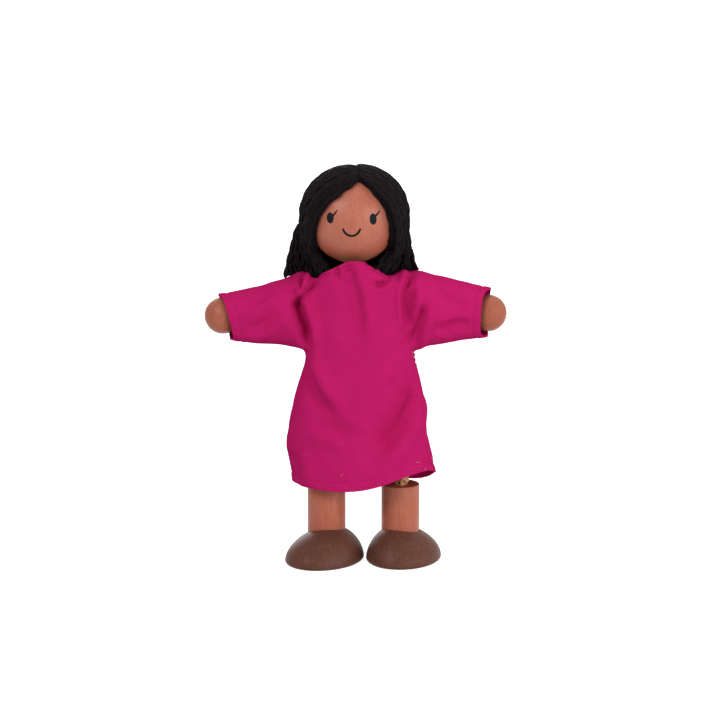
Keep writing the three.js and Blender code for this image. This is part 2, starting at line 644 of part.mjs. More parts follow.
function faceOpening() {
  const [x, y] = FACE_PARTING;
  const shape = new THREE.Shape();
  shape.moveTo(x, y);
  shape.quadraticCurveTo(-0.8 * FACE_HALF_WIDTH, y / 2, FACE_SKEW - FACE_HALF_WIDTH, FACE_LOW);
  shape.lineTo(FACE_SKEW - FACE_HALF_WIDTH, -2 * HEAD_R);
  shape.lineTo(FACE_HALF_WIDTH, -2 * HEAD_R);
  shape.lineTo(FACE_HALF_WIDTH, FACE_LOW);
  shape.quadraticCurveTo(0.97 * FACE_HALF_WIDTH, 0.4 * y, x, y);
  const cutter = new THREE.ExtrudeGeometry(shape, { depth: 2 * HEAD_R, bevelEnabled: false, curveSegments: 8 });
  return solid(cutter.rotateX(Math.PI / 2 - FACE_TILT).translate(HEAD_X, 0, HEAD_Z));
}

// The hair's outside all round the head, at a share of the way from the ends to a height
function hairRing(share, top, count, offset = 0) {
  const crown = HEAD_R + HAIR_ON_TOP;
  const ring = [];
  for (let j = 0; j < count; j++) {
    const angle = (2 * Math.PI * j) / count;
    const behind = THREE.MathUtils.smoothstep(Math.sin(angle), 0.6, 0.85);
    const low = THREE.MathUtils.lerp(FALL_BOTTOM_Z, FALL_BACK_Z, behind);
    const z = THREE.MathUtils.lerp(low, top, share);
    const lift = z > HEAD_Z ? Math.sqrt(Math.max(0, 1 - ((z - HEAD_Z) / crown) ** 2)) : 1;
    const fallen = THREE.MathUtils.clamp((HEAD_Z - z) / (HEAD_Z - low), 0, 1);
    const wave = offset + HAIR_WAVE * Math.sin(9 * angle) * lift;
    const side = Math.cos(angle) > 0 ? "left" : "right";
    const width = (HEAD_R + HAIR_AT_SIDE[side]) * lift + FALL_SPREAD[side] * fallen;
    const depth = (HEAD_R + (Math.sin(angle) > 0 ? HAIR_AT_BACK : HAIR_AT_FRONT)) * lift
      + (Math.sin(angle) > 0 ? FALL_SPREAD.back * fallen : 0);
    ring.push(new THREE.Vector3(
      HEAD_X + (width + wave) * Math.cos(angle), (depth + wave) * Math.sin(angle), z));
  }
  return ring;
}

// The dip along the parting, over the crown from the face to the back of the head
function partingDip() {
  const crown = HEAD_R + HAIR_ON_TOP;
  const half = (PARTING_WIDTH / 2) * (1 + CUT_MARGIN / PARTING_DEPTH);
  const dip = new THREE.LatheGeometry([
    new THREE.Vector2(crown - PARTING_DEPTH, 0),
    new THREE.Vector2(crown + CUT_MARGIN, -half),
    new THREE.Vector2(crown + CUT_MARGIN, half),
    new THREE.Vector2(crown - PARTING_DEPTH, 0),
  ], 40);
  const ring = solid(dip.rotateZ(Math.PI / 2).translate(HEAD_X + PARTING_X, 0, HEAD_Z));
  return ring.intersect(slab(2, HEAD_Z + PARTING_END_Z, FAR));
}

function hairShape() {
  const count = 36;
  const rings = [];
  rings.push(hairRing(0, HEAD_Z, count, -FALL_END_ROUND));
  for (const share of [0.1, 0.4, 0.8]) rings.push(hairRing(share, HEAD_Z, count));
  for (let i = 0; i <= 7; i++) {
    const lift = (Math.PI / 2) * (i / 7.3);
    rings.push(hairRing(1, HEAD_Z + (HAIR_TOP_Z - HEAD_Z) * Math.sin(lift), count));
  }
  return loft(rings)
    .subtract(partingDip())
    .subtract(solid(headBall(HEAD_R + GAP).translate(HEAD_X, 0, HEAD_Z)));
}

function addHair() {
  const hair = hairShape().subtract(faceOpening());
  const half = GAP / 2;
  const bodySpace = turned([
    [0, FALL_BACK_Z - CUT_MARGIN],
    [BODY_R + GAP, FALL_BACK_Z - CUT_MARGIN],
    [BODY_R + GAP, BODY_TOP_Z + GAP],
    [BODY_R - SHOULDER_ROUND / 2, HEAD_CHIN_Z + GAP],
    [0, HEAD_CHIN_Z + GAP],
  ], 24);
  const falls = hair
    .intersect(slab(2, -FAR, HAIR_CAP_Z - half))
    .subtract(tunicShape(GAP, GAP))
    .subtract(solid(bodySpace));
  add("hair_cap", YARN_BLACK, hair.intersect(slab(2, HAIR_CAP_Z + half, FAR)));
  const slope = Math.tan(FALL_SPLIT);
  const reach = 3 * HEAD_R;
  const wedge = (gap) => {
    const shape = new THREE.Shape();
    shape.moveTo(HEAD_X, gap);
    shape.lineTo(HEAD_X + reach / slope, reach + gap);
    shape.lineTo(HEAD_X - reach / slope, reach + gap);
    shape.closePath();
    const cutter = new THREE.ExtrudeGeometry(shape, { depth: FAR, bevelEnabled: false });
    return solid(cutter);
  };
  add("hair_fall_back", YARN_BLACK, falls.intersect(wedge(half)));
  const sides = falls.subtract(wedge(-half));
  add("hair_fall_left", YARN_BLACK, sides.intersect(slab(0, HEAD_X, FAR)));
  add("hair_fall_right", YARN_BLACK, sides.intersect(slab(0, -FAR, HEAD_X)));
}

add("head", SKIN, head());
add("neck_peg", PLAIN_WOOD, neckPeg());
add("torso", PLAIN_WOOD, torso());
addArms();
for (const name of Object.keys(SIDE)) {
  add(`hand_${name}`, SKIN, hand(name));
  addLegRopes(name);
  add(`lower_leg_${name}`, SKIN, lowerLeg(name));
  add(`shoe_${name}`, SHOE_BROWN, shoe(name));
}
addTunic();
addHair();

export default figure;
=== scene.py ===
# %% [markdown]
# # A bendy dollhouse figure in a sewn tunic
#
# The real figure is made of turned wooden balls, dowels and domes. They are strung on golden
# rope with a wire core, then dressed in a pink cotton tunic, with black yarn for hair.
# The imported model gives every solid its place. This notebook makes each visible piece again
# with the shape and finish of the real one, and lets it move with the same joints.

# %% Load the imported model
import json
import math
import random

import bmesh
import bpy
import numpy as np
from mathutils import Matrix, Vector, noise
from mathutils.bvhtree import BVHTree
from mathutils.kdtree import KDTree

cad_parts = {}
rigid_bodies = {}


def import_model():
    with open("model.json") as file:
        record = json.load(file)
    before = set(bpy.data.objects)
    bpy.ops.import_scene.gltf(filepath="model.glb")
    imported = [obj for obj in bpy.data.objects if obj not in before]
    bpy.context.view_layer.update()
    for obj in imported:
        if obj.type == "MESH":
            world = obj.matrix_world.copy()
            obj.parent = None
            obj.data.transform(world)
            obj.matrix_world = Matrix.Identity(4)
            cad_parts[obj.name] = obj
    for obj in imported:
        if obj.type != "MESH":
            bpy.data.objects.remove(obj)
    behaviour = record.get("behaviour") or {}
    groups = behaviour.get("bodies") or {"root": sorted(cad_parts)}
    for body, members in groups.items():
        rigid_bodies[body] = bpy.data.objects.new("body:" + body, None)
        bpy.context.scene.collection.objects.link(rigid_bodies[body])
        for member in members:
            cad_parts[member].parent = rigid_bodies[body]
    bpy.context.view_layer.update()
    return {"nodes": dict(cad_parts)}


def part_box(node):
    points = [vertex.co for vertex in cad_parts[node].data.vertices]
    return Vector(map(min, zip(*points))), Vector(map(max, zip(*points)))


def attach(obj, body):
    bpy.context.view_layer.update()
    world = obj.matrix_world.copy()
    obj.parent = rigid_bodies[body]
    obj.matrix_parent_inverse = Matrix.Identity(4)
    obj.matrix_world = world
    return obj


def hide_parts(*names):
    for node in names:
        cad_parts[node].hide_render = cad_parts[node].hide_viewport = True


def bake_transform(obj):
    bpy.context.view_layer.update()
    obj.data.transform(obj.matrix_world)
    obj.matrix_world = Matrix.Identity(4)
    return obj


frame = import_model()
print("pieces in the packed model:", len(frame["nodes"]))

# %% [markdown]
# ## Millimetres, and from a drawing to a piece
#
# The figure is small, so every shape is drawn in millimetres. A piece is made in metres only at
# its end. Its object stays at the origin, so that its place is in its mesh: then a pattern on
# Object coordinates holds still on it, and the joints can turn it about the right points.

# %% Helpers for every piece
MM = 0.001


def mm(x, y, z):
    """A point in metres from millimetres."""
    return Vector((x, y, z)) * MM


def clamp(value, low=0.0, high=1.0):
    return max(low, min(high, value))


def heading(line, i):
    """Which way a line goes at one of its points."""
    return line[min(i + 1, len(line) - 1)] - line[max(i - 1, 0)]


def node_box(name):
    """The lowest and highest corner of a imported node, in millimetres."""
    low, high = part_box(name)
    return low / MM, high / MM


def add_object(name, data):
    """A new object in the scene."""
    made = bpy.data.objects.new(name, data)
    bpy.context.scene.collection.objects.link(made)
    return made


def make_piece(drawing, name):
    """Turns a bmesh drawn in millimetres into a smooth object in metres."""
    bmesh.ops.scale(drawing, vec=(MM, MM, MM), verts=drawing.verts)
    mesh = bpy.data.meshes.new(name)
    drawing.to_mesh(mesh)
    drawing.free()
    mesh.polygons.foreach_set("use_smooth", [True] * len(mesh.polygons))
    return add_object(name, mesh)


def face_away(drawing, outward):
    """Makes the faces point to the side that outward gives for their middles."""
    bmesh.ops.recalc_face_normals(drawing, faces=drawing.faces)
    if sum(f.normal.dot(outward(f.calc_center_median())) for f in drawing.faces) < 0:
        bmesh.ops.reverse_faces(drawing, faces=drawing.faces)


def dress(piece, finish):
    """Gives a piece its material."""
    piece.data.materials.clear()
    piece.data.materials.append(finish)


def final_mesh(piece):
    """A mesh of a piece as it looks, with its modifiers or its bevel."""
    depsgraph = bpy.context.evaluated_depsgraph_get()
    return bpy.data.meshes.new_from_object(piece.evaluated_get(depsgraph))


def modify(piece, kind, **settings):
    """Adds a modifier with its settings."""
    made = piece.modifiers.new(kind.lower(), kind)
    for key, value in settings.items():
        setattr(made, key, value)


def apply_modifiers(piece):
    """Bakes a piece's modifiers into its mesh."""
    mesh = final_mesh(piece)
    piece.modifiers.clear()
    piece.data = mesh


# %% [markdown]
# ## Making a finish from nodes
#
# Every finish is a Principled shader with a few pattern nodes: colour from one or two noise
# textures, and a bump for what a finger would feel. These helpers keep each finish short.
# Values that are the same all over stay on the shader's own sockets.


# %% Helpers for finishes
def linear(red, green, blue):
    """A colour as a picture editor writes it, 0 to 255, for Blender's linear sockets."""
    def one(value):
        value /= 255
        return value / 12.92 if value <= 0.04045 else ((value + 0.055) / 1.055) ** 2.4
    return (one(red), one(green), one(blue), 1)


def grey(value):
    return (value, value, value, 1)


def new_node(tree, kind, inputs=None, **settings):
    """A shader node. An input is a value, or another node's socket that is linked to it."""
    made = tree.nodes.new("ShaderNode" + kind)
    for key, value in settings.items():
        setattr(made, key, value)
    for key, value in (inputs or {}).items():
        if isinstance(value, bpy.types.NodeSocket):
            tree.links.new(value, made.inputs[key])
        else:
            made.inputs[key].default_value = value
    return made


class Finish:
    """A material that is being made: its node tree, its shader and short ways to add nodes."""

    def __init__(self, name, **constants):
        self.material = bpy.data.materials.new(name)
        self.material.use_nodes = True
        self.tree = self.material.node_tree
        self.shader = self.tree.nodes["Principled BSDF"]
        for key, value in constants.items():
            self.shader.inputs[key.replace("_", " ")].default_value = value

    def node(self, kind, inputs=None, **settings):
        return new_node(self.tree, kind, inputs, **settings)

    def noise(self, scale, detail=2, roughness=0.55):
        """Noise over the piece. A scale of 1000 is one step a millimetre."""
        scale = scale if isinstance(scale, tuple) else (scale, scale, scale)
        where = self.node("TexCoord").outputs["Object"]
        where = self.node("Mapping", {"Vector": where, "Scale": scale}).outputs[0]
        inputs = {"Vector": where, "Scale": 1.0, "Detail": detail, "Roughness": roughness}
        return self.node("TexNoise", inputs).outputs["Fac"]

    def ramp(self, value, stops):
        """Colours at positions from 0 to 1."""
        made = self.node("ValToRGB", {"Fac": value})
        ramp = made.color_ramp
        while len(ramp.elements) < len(stops):
            ramp.elements.new(0.5)
        for element, (position, colour) in zip(ramp.elements, stops):
            element.position = position
            element.color = colour
        return made.outputs["Color"]

    def mix(self, factor, first, second, blend="MIX"):
        inputs = {0: factor, 6: first, 7: second}
        return self.node("Mix", inputs, data_type="RGBA", blend_type=blend).outputs[2]

    def patches(self, value, low, high, most, under, over):
        """Lays a colour over another where a noise is high, and at most so strongly."""
        return self.mix(self.ramp(value, [(low, grey(0)), (high, grey(most))]), under, over)

    def math(self, operation, first, second=0.0):
        return self.node("Math", {0: first, 1: second}, operation=operation).outputs[0]

    def span(self, value, low, high, first=0.0):
        """A value from first to 1, stretched to a range."""
        inputs = {"Value": value, "From Min": first, "To Min": low, "To Max": high}
        return self.node("MapRange", inputs).outputs[0]

    def bump(self, height, depth, strength=1.0, **under):
        """Adds relief. Depth is in metres."""
        inputs = {"Height": height, "Distance": depth, "Strength": strength, **under}
        return self.node("Bump", inputs).outputs[0]

    def finish(self, colour, normal, roughness=None):
        for key, socket in (("Base Color", colour), ("Normal", normal), ("Roughness", roughness)):
            if socket is not None:
                self.tree.links.new(socket, self.shader.inputs[key])
        return self.material


def speckled(name, scale, stops, relief, detail=2, patches=None, shine=None, **constants):
    """A finish whose tone and relief follow one noise. Patches of a second tone lie over it."""
    made = Finish(name, **constants)
    speckle = made.noise(scale, detail)
    tone = made.ramp(speckle, stops)
    if patches is not None:
        patch_scale, low, over = patches
        tone = made.patches(made.noise(patch_scale), low, 0.7, 0.5, tone, over)
    roughness = made.span(speckle, *shine) if shine else None
    return made.finish(tone, made.bump(speckle, *relief), roughness)


# %% [markdown]
# ## Camera, light and floor
#
# The photograph looks straight at the figure from a little above, through a long lens, so the
# camera stands far off and is narrow. The light is a plain studio: two large soft lamps in front,
# three weak ones at the side, above and behind, and a white surround. The floor and the surround
# are white to the camera and to reflections only. The light that falls on the figure stays
# moderate, so colours render as they are written.

# %% Camera
CAMERA_TARGET = mm(1.43, 0, 66.1)
CAMERA_DISTANCE = 0.9
CAMERA_LIFT = math.radians(11.4)
FRAME_WIDTH = 0.2347  # what the photograph shows across, at the figure
VIEW_ALONG = Vector((0, math.cos(CAMERA_LIFT), -math.sin(CAMERA_LIFT)))
VIEW_UP = Vector((0, math.sin(CAMERA_LIFT), math.cos(CAMERA_LIFT)))

camera = add_object("camera", bpy.data.cameras.new("camera"))
camera.data.sensor_width = 36
camera.data.lens = 36 * CAMERA_DISTANCE / FRAME_WIDTH
camera.data.clip_start = 0.01
camera.location = CAMERA_TARGET - VIEW_ALONG * CAMERA_DISTANCE
camera.rotation_euler = (math.pi / 2 - CAMERA_LIFT, 0, 0)
bpy.context.scene.camera = camera
bpy.context.scene.view_settings.view_transform = "Standard"
print("lens in mm:", round(camera.data.lens, 1))


# %% Lamps
# name, place, height that it is aimed at in the middle, size, and watts
LAMPS = [
    ("key", (-0.5, -0.6, 0.6), 0.07, 0.3, 3.6), ("fill", (0.62, -0.72, 0.33), 0.08, 0.5, 4.1),
    ("side", (0.8, -0.15, 0.2), 0.07, 0.4, 1.6), ("top", (0.1, 0.2, 0.8), 0.08, 0.4, 1.5),
    ("back", (-0.2, 0.9, 0.3), 0.07, 0.5, 2.2)]
for name, place, aim_z, size, watts in LAMPS:
    lamp = add_object(f"{name}_lamp", bpy.data.lights.new(f"{name}_lamp", "AREA"))
    lamp.data.size = size
    lamp.data.energy = watts
    lamp.location = place
    aim = Vector((0, 0, aim_z)) - lamp.location
    lamp.rotation_euler = aim.to_track_quat("-Z", "Y").to_euler()
print("soft lamps:", len(LAMPS))


# %% Surround and floor
def seen_directly(tree):
    """1 for rays from the camera and for those through reflections and glass, else 0."""
    path = new_node(tree, "LightPath")
    total = path.outputs["Is Camera Ray"]
    for name in ("Is Glossy Ray", "Is Transmission Ray"):
        inputs = {0: total, 1: path.outputs[name]}
        total = new_node(tree, "Math", inputs, operation="MAXIMUM").outputs[0]
    return total


world = bpy.data.worlds.new("studio")
bpy.context.scene.world = world
world.use_nodes = True
tree = world.node_tree
soft = new_node(tree, "Background", {"Color": (0.95, 0.97, 1, 1), "Strength": 0.29})
white = new_node(tree, "Background", {"Color": grey(1), "Strength": 1.0})
mix = new_node(tree, "MixShader", {0: seen_directly(tree), 1: soft.outputs[0], 2: white.outputs[0]})
tree.links.new(mix.outputs[0], tree.nodes["World Output"].inputs["Surface"])

paper = Finish("studio_floor", Base_Color=grey(0.68), Roughness=0.9, Specular_IOR_Level=0)
strength = paper.math("MULTIPLY", seen_directly(paper.tree), 0.9)
glow = paper.node("Emission", {"Strength": strength})
both = paper.node("AddShader", {0: paper.shader.outputs[0], 1: glow.outputs[0]})
paper.tree.links.new(both.outputs[0], paper.tree.nodes["Material Output"].inputs["Surface"])

drawing = bmesh.new()
bmesh.ops.create_grid(drawing, x_segments=1, y_segments=1, size=4000)
floor = make_piece(drawing, "studio_floor_plane")
floor.data.materials.append(paper.material)


# %% [markdown]
# ## Stained wood
#
# The head, hands and lower legs are beech, stained a warm brown and lightly varnished. Beech
# has fine straight grain: short darker pores along the wood. A noise texture squeezed across
# the grain and stretched along it gives such streaks. A second, soft noise makes the stain
# take unevenly. The bump is very low, because the varnish fills the pores.


# %% Finish: stained wood
def stained_wood(
        name, dark, light, deep, along=(1500, 1500, 130), speckle=0.0, end=None, **constants):
    made = Finish(name, **constants)
    streaks = made.noise(along, detail=4, roughness=0.6)
    tone = made.ramp(streaks, [(0.3, dark), (0.52, light), (0.72, dark)])
    grains = made.noise(2400)
    bright = made.ramp(grains, [(0.42, grey(0.62)), (0.6, (1.25, 1.2, 1.15, 1))])
    tone = made.mix(speckle, tone, bright, "MULTIPLY")
    clouds = made.noise((170, 170, 110), roughness=0.5)
    tone = made.patches(clouds, 0.35, 0.7, 0.55, tone, deep)
    if end is not None:  # the sawn end drinks more stain
        facing = made.node("SeparateXYZ", {0: made.node("TexCoord").outputs["Normal"]}).outputs[2]
        sawn = made.math("GREATER_THAN", made.math("ABSOLUTE", facing), 0.9)
        tone = made.mix(sawn, tone, end)
    pores = made.noise((along[0] * 2.2, along[1] * 2.2, along[2] * 1.6))
    pore_lines = made.ramp(pores, [(0.28, grey(0)), (0.36, grey(1))])
    tone = made.mix(0.22, tone, pore_lines, "MULTIPLY")
    return made.finish(tone, made.bump(pore_lines, 0.00003, 0.5), made.span(clouds, 0.36, 0.5))


SKIN = (linear(164, 92, 72), linear(184, 108, 86), linear(168, 86, 60))
THIN_VARNISH = {"Specular_IOR_Level": 0.18, "Coat_Weight": 0.03, "Coat_Roughness": 0.3}
skin_wood = stained_wood(
    "skin_wood", *SKIN, Specular_IOR_Level=0.3, Coat_Weight=0.08, Coat_Roughness=0.3)
hand_wood = stained_wood(
    "hand_wood", linear(154, 86, 66), linear(173, 101, 79), linear(158, 80, 56), **THIN_VARNISH)
leg_wood = stained_wood("leg_wood", *SKIN, end=linear(158, 74, 56), **THIN_VARNISH)
shoe_wood = stained_wood(
    "shoe_wood", linear(91, 57, 45), linear(109, 69, 56), linear(85, 52, 41),
    along=(260, 1500, 1500), speckle=0.7,
    Specular_IOR_Level=0.1, Coat_Weight=0.02, Coat_Roughness=0.35)
plain_wood = stained_wood(
    "plain_wood", linear(196, 158, 112), linear(216, 180, 134), linear(204, 160, 118))
print("wood finishes:", skin_wood.name, shoe_wood.name, plain_wood.name)

# %% [markdown]
# ## Turned pieces
#
# A lathe turns the wood while a tool follows a profile. The spin operator does the same: a
# line of a few points goes once round the axis. The dowels' and the shoes' corners get a small
# bevel, as sandpaper gives the real ones, and they catch the light.


# %% Turning on the lathe
def turn_profile(profile, steps=96):
    """A drawing of a round piece, from (radius, height) points, about the upright axis."""
    drawing = bmesh.new()
    points = [drawing.verts.new((radius, 0, height)) for radius, height in profile]
    line = [drawing.edges.new(pair) for pair in zip(points, points[1:])]
    bmesh.ops.spin(
        drawing, geom=points + line, cent=(0, 0, 0), axis=(0, 0, 1), dvec=(0, 0, 0),
        angle=2 * math.pi, steps=steps, use_merge=True, use_duplicate=False)
    bmesh.ops.remove_doubles(drawing, verts=drawing.verts, dist=1e-3)
    bmesh.ops.recalc_face_normals(drawing, faces=drawing.faces)
    return drawing


def drilled_ball(radius, hole_radius, hole_depth, last, rows, steps=96):
    """A ball with a hole from below. Its arc ends near the top, at last, in degrees."""
    first = -math.degrees(math.acos(hole_radius / radius))
    turns = [math.radians(first + (last - first) * i / rows) for i in range(rows + 1)]
    hole = [(0, hole_depth - radius), (hole_radius, hole_depth - radius)]
    ball = [(radius * math.cos(t), radius * math.sin(t)) for t in turns]
    return turn_profile(hole + ball + [(0, radius)], steps)


def cylinder(radius, depth, steps):
    """A drawing of a plain round length of wood, or of a drill."""
    drawing = bmesh.new()
    bmesh.ops.create_cone(
        drawing, cap_ends=True, cap_tris=False, segments=steps, radius1=radius, radius2=radius,
        depth=depth)
    return drawing


SIDES = {"left": 1, "right": -1}

# %% [markdown]
# ## Head
#
# The head is one turned ball, drilled from below for the neck peg. Its place comes from the
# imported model. The ball is spun from an arc, with the drilled hole in the same profile.

# %% Head
low, high = node_box("head")
HEAD = (low + high) / 2
HEAD_R = (high.z - low.z) / 2
NECK_HOLE_R = 3.3
NECK_HOLE_DEPTH = 9.3

drawing = drilled_ball(HEAD_R, NECK_HOLE_R, NECK_HOLE_DEPTH, 89, 72)
bmesh.ops.translate(drawing, vec=HEAD, verts=drawing.verts)
head = make_piece(drawing, "turned_head")
dress(head, skin_wood)
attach(head, "head")
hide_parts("head")
print("head radius in mm:", round(HEAD_R, 2), "faces:", len(head.data.polygons))

# %% [markdown]
# ## Painted face
#
# Two oval eyes, a lash on each and a small smile are printed on the ball in black paint. Paint
# has a little thickness, so each mark is a thin patch that follows the ball. A mark is drawn flat,
# as the camera of the photograph sees it, cut into small faces, and laid onto the ball.

# %% Finish: face paint
face_paint = speckled(
    "face_paint", 900, [(0.3, linear(16, 16, 19)), (0.7, linear(27, 29, 33))], (0.00002, 0.4),
    Roughness=0.6, Specular_IOR_Level=0.08)

# %% Painted marks
PAINT = 0.06  # how far the paint stands off the wood
PHOTO_STEP = FRAME_WIDTH / 720 / MM  # one step of the photograph, at the camera's target
FACE_MIDDLE = (-7, 141)  # steps right of and above the photograph's middle
EYE = camera.location / MM
BRUSH_COLUMNS = (-1, -0.6, 0, 0.6, 1)  # where the faces of a stroke meet, across its half width


def towards(across, up):
    """The camera's ray through a place, in steps right of and above the photograph's middle."""
    line = VIEW_ALONG * CAMERA_DISTANCE / MM + VIEW_UP * up * PHOTO_STEP
    line.x += across * PHOTO_STEP
    return line.normalized()


def from_photo(across, up):
    """Where the camera sees a point of the face on the ball, from the ball's middle."""
    eye = EYE - HEAD
    line = towards(across + FACE_MIDDLE[0], up + FACE_MIDDLE[1])
    nearest = -eye.dot(line)
    half_chord = math.sqrt(max(0.0, HEAD_R ** 2 - (eye + line * nearest).length_squared))
    return eye + line * (nearest - half_chord)


def lay_on_ball(drawing):
    """Moves a flat drawing, in steps of the photograph, onto the ball, as thick as paint."""
    for vert in drawing.verts:
        on_ball = from_photo(vert.co.x, vert.co.y)
        lift = 0 if vert.is_boundary else PAINT
        vert.co = HEAD + on_ball * (1 + lift / HEAD_R)


def painted_oval(drawing, across, up, width, height, lean):
    """An oval of paint made of small faces, turned by lean."""
    bmesh.ops.create_circle(drawing, cap_ends=True, cap_tris=True, segments=32, radius=1)
    spokes = [e for e in drawing.edges if not e.is_boundary]
    bmesh.ops.subdivide_edges(drawing, edges=spokes, cuts=3, use_grid_fill=True)
    placed = Matrix.Translation((across, up, 0)) @ Matrix.Rotation(lean, 4, "Z")
    placed = placed @ Matrix.Diagonal((width / 2, height / 2, 1, 1))
    bmesh.ops.transform(drawing, matrix=placed, verts=drawing.verts)


def painted_line(drawing, points, widths):
    """A stroke of paint along points, as wide as the brush at each of them."""
    rows = []
    for i, (point, width) in enumerate(zip(points, widths)):
        ahead = heading(points, i)
        aside = Vector((-ahead.y, ahead.x)).normalized() * width / 2
        rows.append([
            drawing.verts.new((point.x + aside.x * t, point.y + aside.y * t, 0))
            for t in BRUSH_COLUMNS])
    for row, nxt in zip(rows, rows[1:]):
        for a, b, c, d in zip(row, row[1:], nxt[1:], nxt):
            drawing.faces.new((a, b, c, d))


def paint_mark(name, draw, *shape):
    drawing = bmesh.new()
    draw(drawing, *shape)
    lay_on_ball(drawing)
    face_away(drawing, lambda spot: spot - HEAD)
    mark = make_piece(drawing, name)
    dress(mark, face_paint)
    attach(mark, "head")


def stroke(first, last, bend, steps=10):
    """Points from first to last, bowed sideways by bend."""
    first, last = Vector(first), Vector(last)
    aside = Vector((first.y - last.y, last.x - first.x)).normalized()
    shares = [i / steps for i in range(steps + 1)]
    return [first + (last - first) * t + aside * bend * 4 * t * (1 - t) for t in shares]


def smile(steps=24):
    """Points along the smile, which bends upwards to both ends."""
    turns = [(-1 + 2 * i / steps) * SMILE_TURN for i in range(steps + 1)]
    return [Vector((
        SMILE_LOWEST[0] + SMILE_HALF_WIDTH * math.sin(t) / math.sin(SMILE_TURN),
        SMILE_LOWEST[1] + SMILE_DEPTH * (1 - math.cos(t)) / (1 - math.cos(SMILE_TURN))))
        for t in turns]


# sizes in steps of the photograph
LASH_WIDTHS = [2.3, 2.2, 2.1, 2.0, 1.9, 1.75, 1.6, 1.45, 1.25, 1.0, 0.6]
SMILE_LOWEST, SMILE_HALF_WIDTH, SMILE_DEPTH, SMILE_TURN = (-1.4, -17.0), 8.9, 7.6, 1.18
SMILE_WIDTHS = [1.6] + [2.0] * 2 + [2.3] * 19 + [2.0] * 2 + [1.6]
MARKS = [
    ("eye_right", painted_oval, -22.8, 1.1, 7.0, 11.0, 0.04),
    ("eye_left", painted_oval, 20.1, -0.1, 7.0, 11.5, 0.04),
    ("lash_right", painted_line, stroke((-20.8, 2.6), (-15.6, 9.4), -0.35), LASH_WIDTHS),
    ("lash_left", painted_line, stroke((22.0, 2.6), (26.9, 8.6), -0.35), LASH_WIDTHS),
    ("smile", painted_line, smile(), SMILE_WIDTHS)]
for name, *drawn in MARKS:
    paint_mark("painted_" + name, *drawn)
print("painted marks on the head:", len(MARKS))

# %% [markdown]
# ## Hands
#
# Each hand is a small turned ball with a blind hole that the arm rope is glued into. The rope
# comes in a little from above, so the hole leans with it.

# %% Hands
BORE_R = 2.5
HAND_HOLE_DEPTH = 5.3
ROPE_ACROSS = 30  # of the arm rope, from the body to the hand
ROPE_DROP = {"left": 4.3, "right": 5.1}  # how far it comes down on that way


def make_hand(name):
    low, high = node_box(f"hand_{name}")
    middle = (low + high) / 2
    radius = (high.z - low.z) / 2
    drawing = drilled_ball(radius, BORE_R, HAND_HOLE_DEPTH, 88, 40, steps=64)
    lean = math.atan2(ROPE_DROP[name], ROPE_ACROSS)
    turn = Matrix.Rotation(SIDES[name] * (math.pi / 2 + lean), 4, "Y")
    bmesh.ops.transform(drawing, matrix=Matrix.Translation(middle) @ turn, verts=drawing.verts)
    hand = make_piece(drawing, f"turned_hand_{name}")
    dress(hand, hand_wood)
    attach(hand, f"forearm_{name}")
    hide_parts(f"hand_{name}")
    print(hand.name, "radius in mm:", round(radius, 2))


for name in SIDES:
    make_hand(name)

# %% [markdown]
# ## Lower legs
#
# A lower leg is a length of dowel with a hole in its upper end for the leg rope. It is drawn as
# a cylinder whose top is inset and pushed in, the way the dowel is cut and then drilled. The
# bevel softens both rims.

# %% Lower legs
LEG_R = 6.25
ROPE_HOLE_DEPTH = 8.3


def make_lower_leg(name):
    low, high = node_box(f"lower_leg_{name}")
    middle = (low + high) / 2
    drawing = cylinder(LEG_R, high.z - low.z, 72)
    top = max(drawing.faces, key=lambda f: f.calc_center_median().z)
    bmesh.ops.inset_region(drawing, faces=[top], thickness=LEG_R - BORE_R, use_even_offset=True)
    hole = bmesh.ops.extrude_face_region(drawing, geom=[top])
    bmesh.ops.delete(drawing, geom=[top], context="FACES_ONLY")
    floor_verts = [v for v in hole["geom"] if isinstance(v, bmesh.types.BMVert)]
    bmesh.ops.translate(drawing, vec=(0, 0, -ROPE_HOLE_DEPTH), verts=floor_verts)
    rims = [e for e in drawing.edges if e.is_manifold and e.calc_face_angle(0) > 1.0
            and abs(e.verts[0].co.z - e.verts[1].co.z) < 1e-4
            and abs(e.verts[0].co.z) > (high.z - low.z) / 2 - 0.1]
    bmesh.ops.bevel(
        drawing, geom=rims, offset=0.35, offset_type="OFFSET", segments=3, profile=0.5,
        affect="EDGES", material=-1)
    bmesh.ops.recalc_face_normals(drawing, faces=drawing.faces)
    bmesh.ops.translate(drawing, vec=middle, verts=drawing.verts)
    leg = make_piece(drawing, f"dowel_leg_{name}")
    leg.data.set_sharp_from_angle(angle=math.radians(40))
    dress(leg, leg_wood)
    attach(leg, f"lower_leg_{name}")
    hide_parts(f"lower_leg_{name}")
    return middle


leg_places = {name: make_lower_leg(name) for name in SIDES}
print("lower legs stand at:", {n: tuple(round(v, 1) for v in p) for n, p in leg_places.items()})

# %% [markdown]
# ## Shoes
#
# A shoe is half of an egg: a turned dome that is longer than it is wide, sanded flat below and
# drilled for the leg. The dome is spun round, stretched, and its top pushed a little ahead.
# A boolean drills the hole, and a bevel softens its rim.

# %% Shoes
SHOE_LENGTH = 30.4
SHOE_WIDTH = 24.2
SHOE_HEIGHT = 11.5
SHOE_WIDEST_Z = 0.9
SOLE_RATIO = 0.95
DOME_POWER = 1.75  # 2 would be an ellipse
DOME_ROWS = 33
SHOE_MIDDLE = {"left": (1.1, -1.6), "right": (-0.65, -3.4)}  # from the leg, seen from above
SHOE_TOP = {"left": (-2.2, -0.5), "right": (2, 0.6)}  # the dome's top, from the shoe's middle
SHOE_TURN = {"left": -17, "right": -30}  # both toes point to the figure's own right
SHOE_FLOOR = 4  # how much wood is left under the leg
GAP = 0.3
DRILL_LENGTH = 20


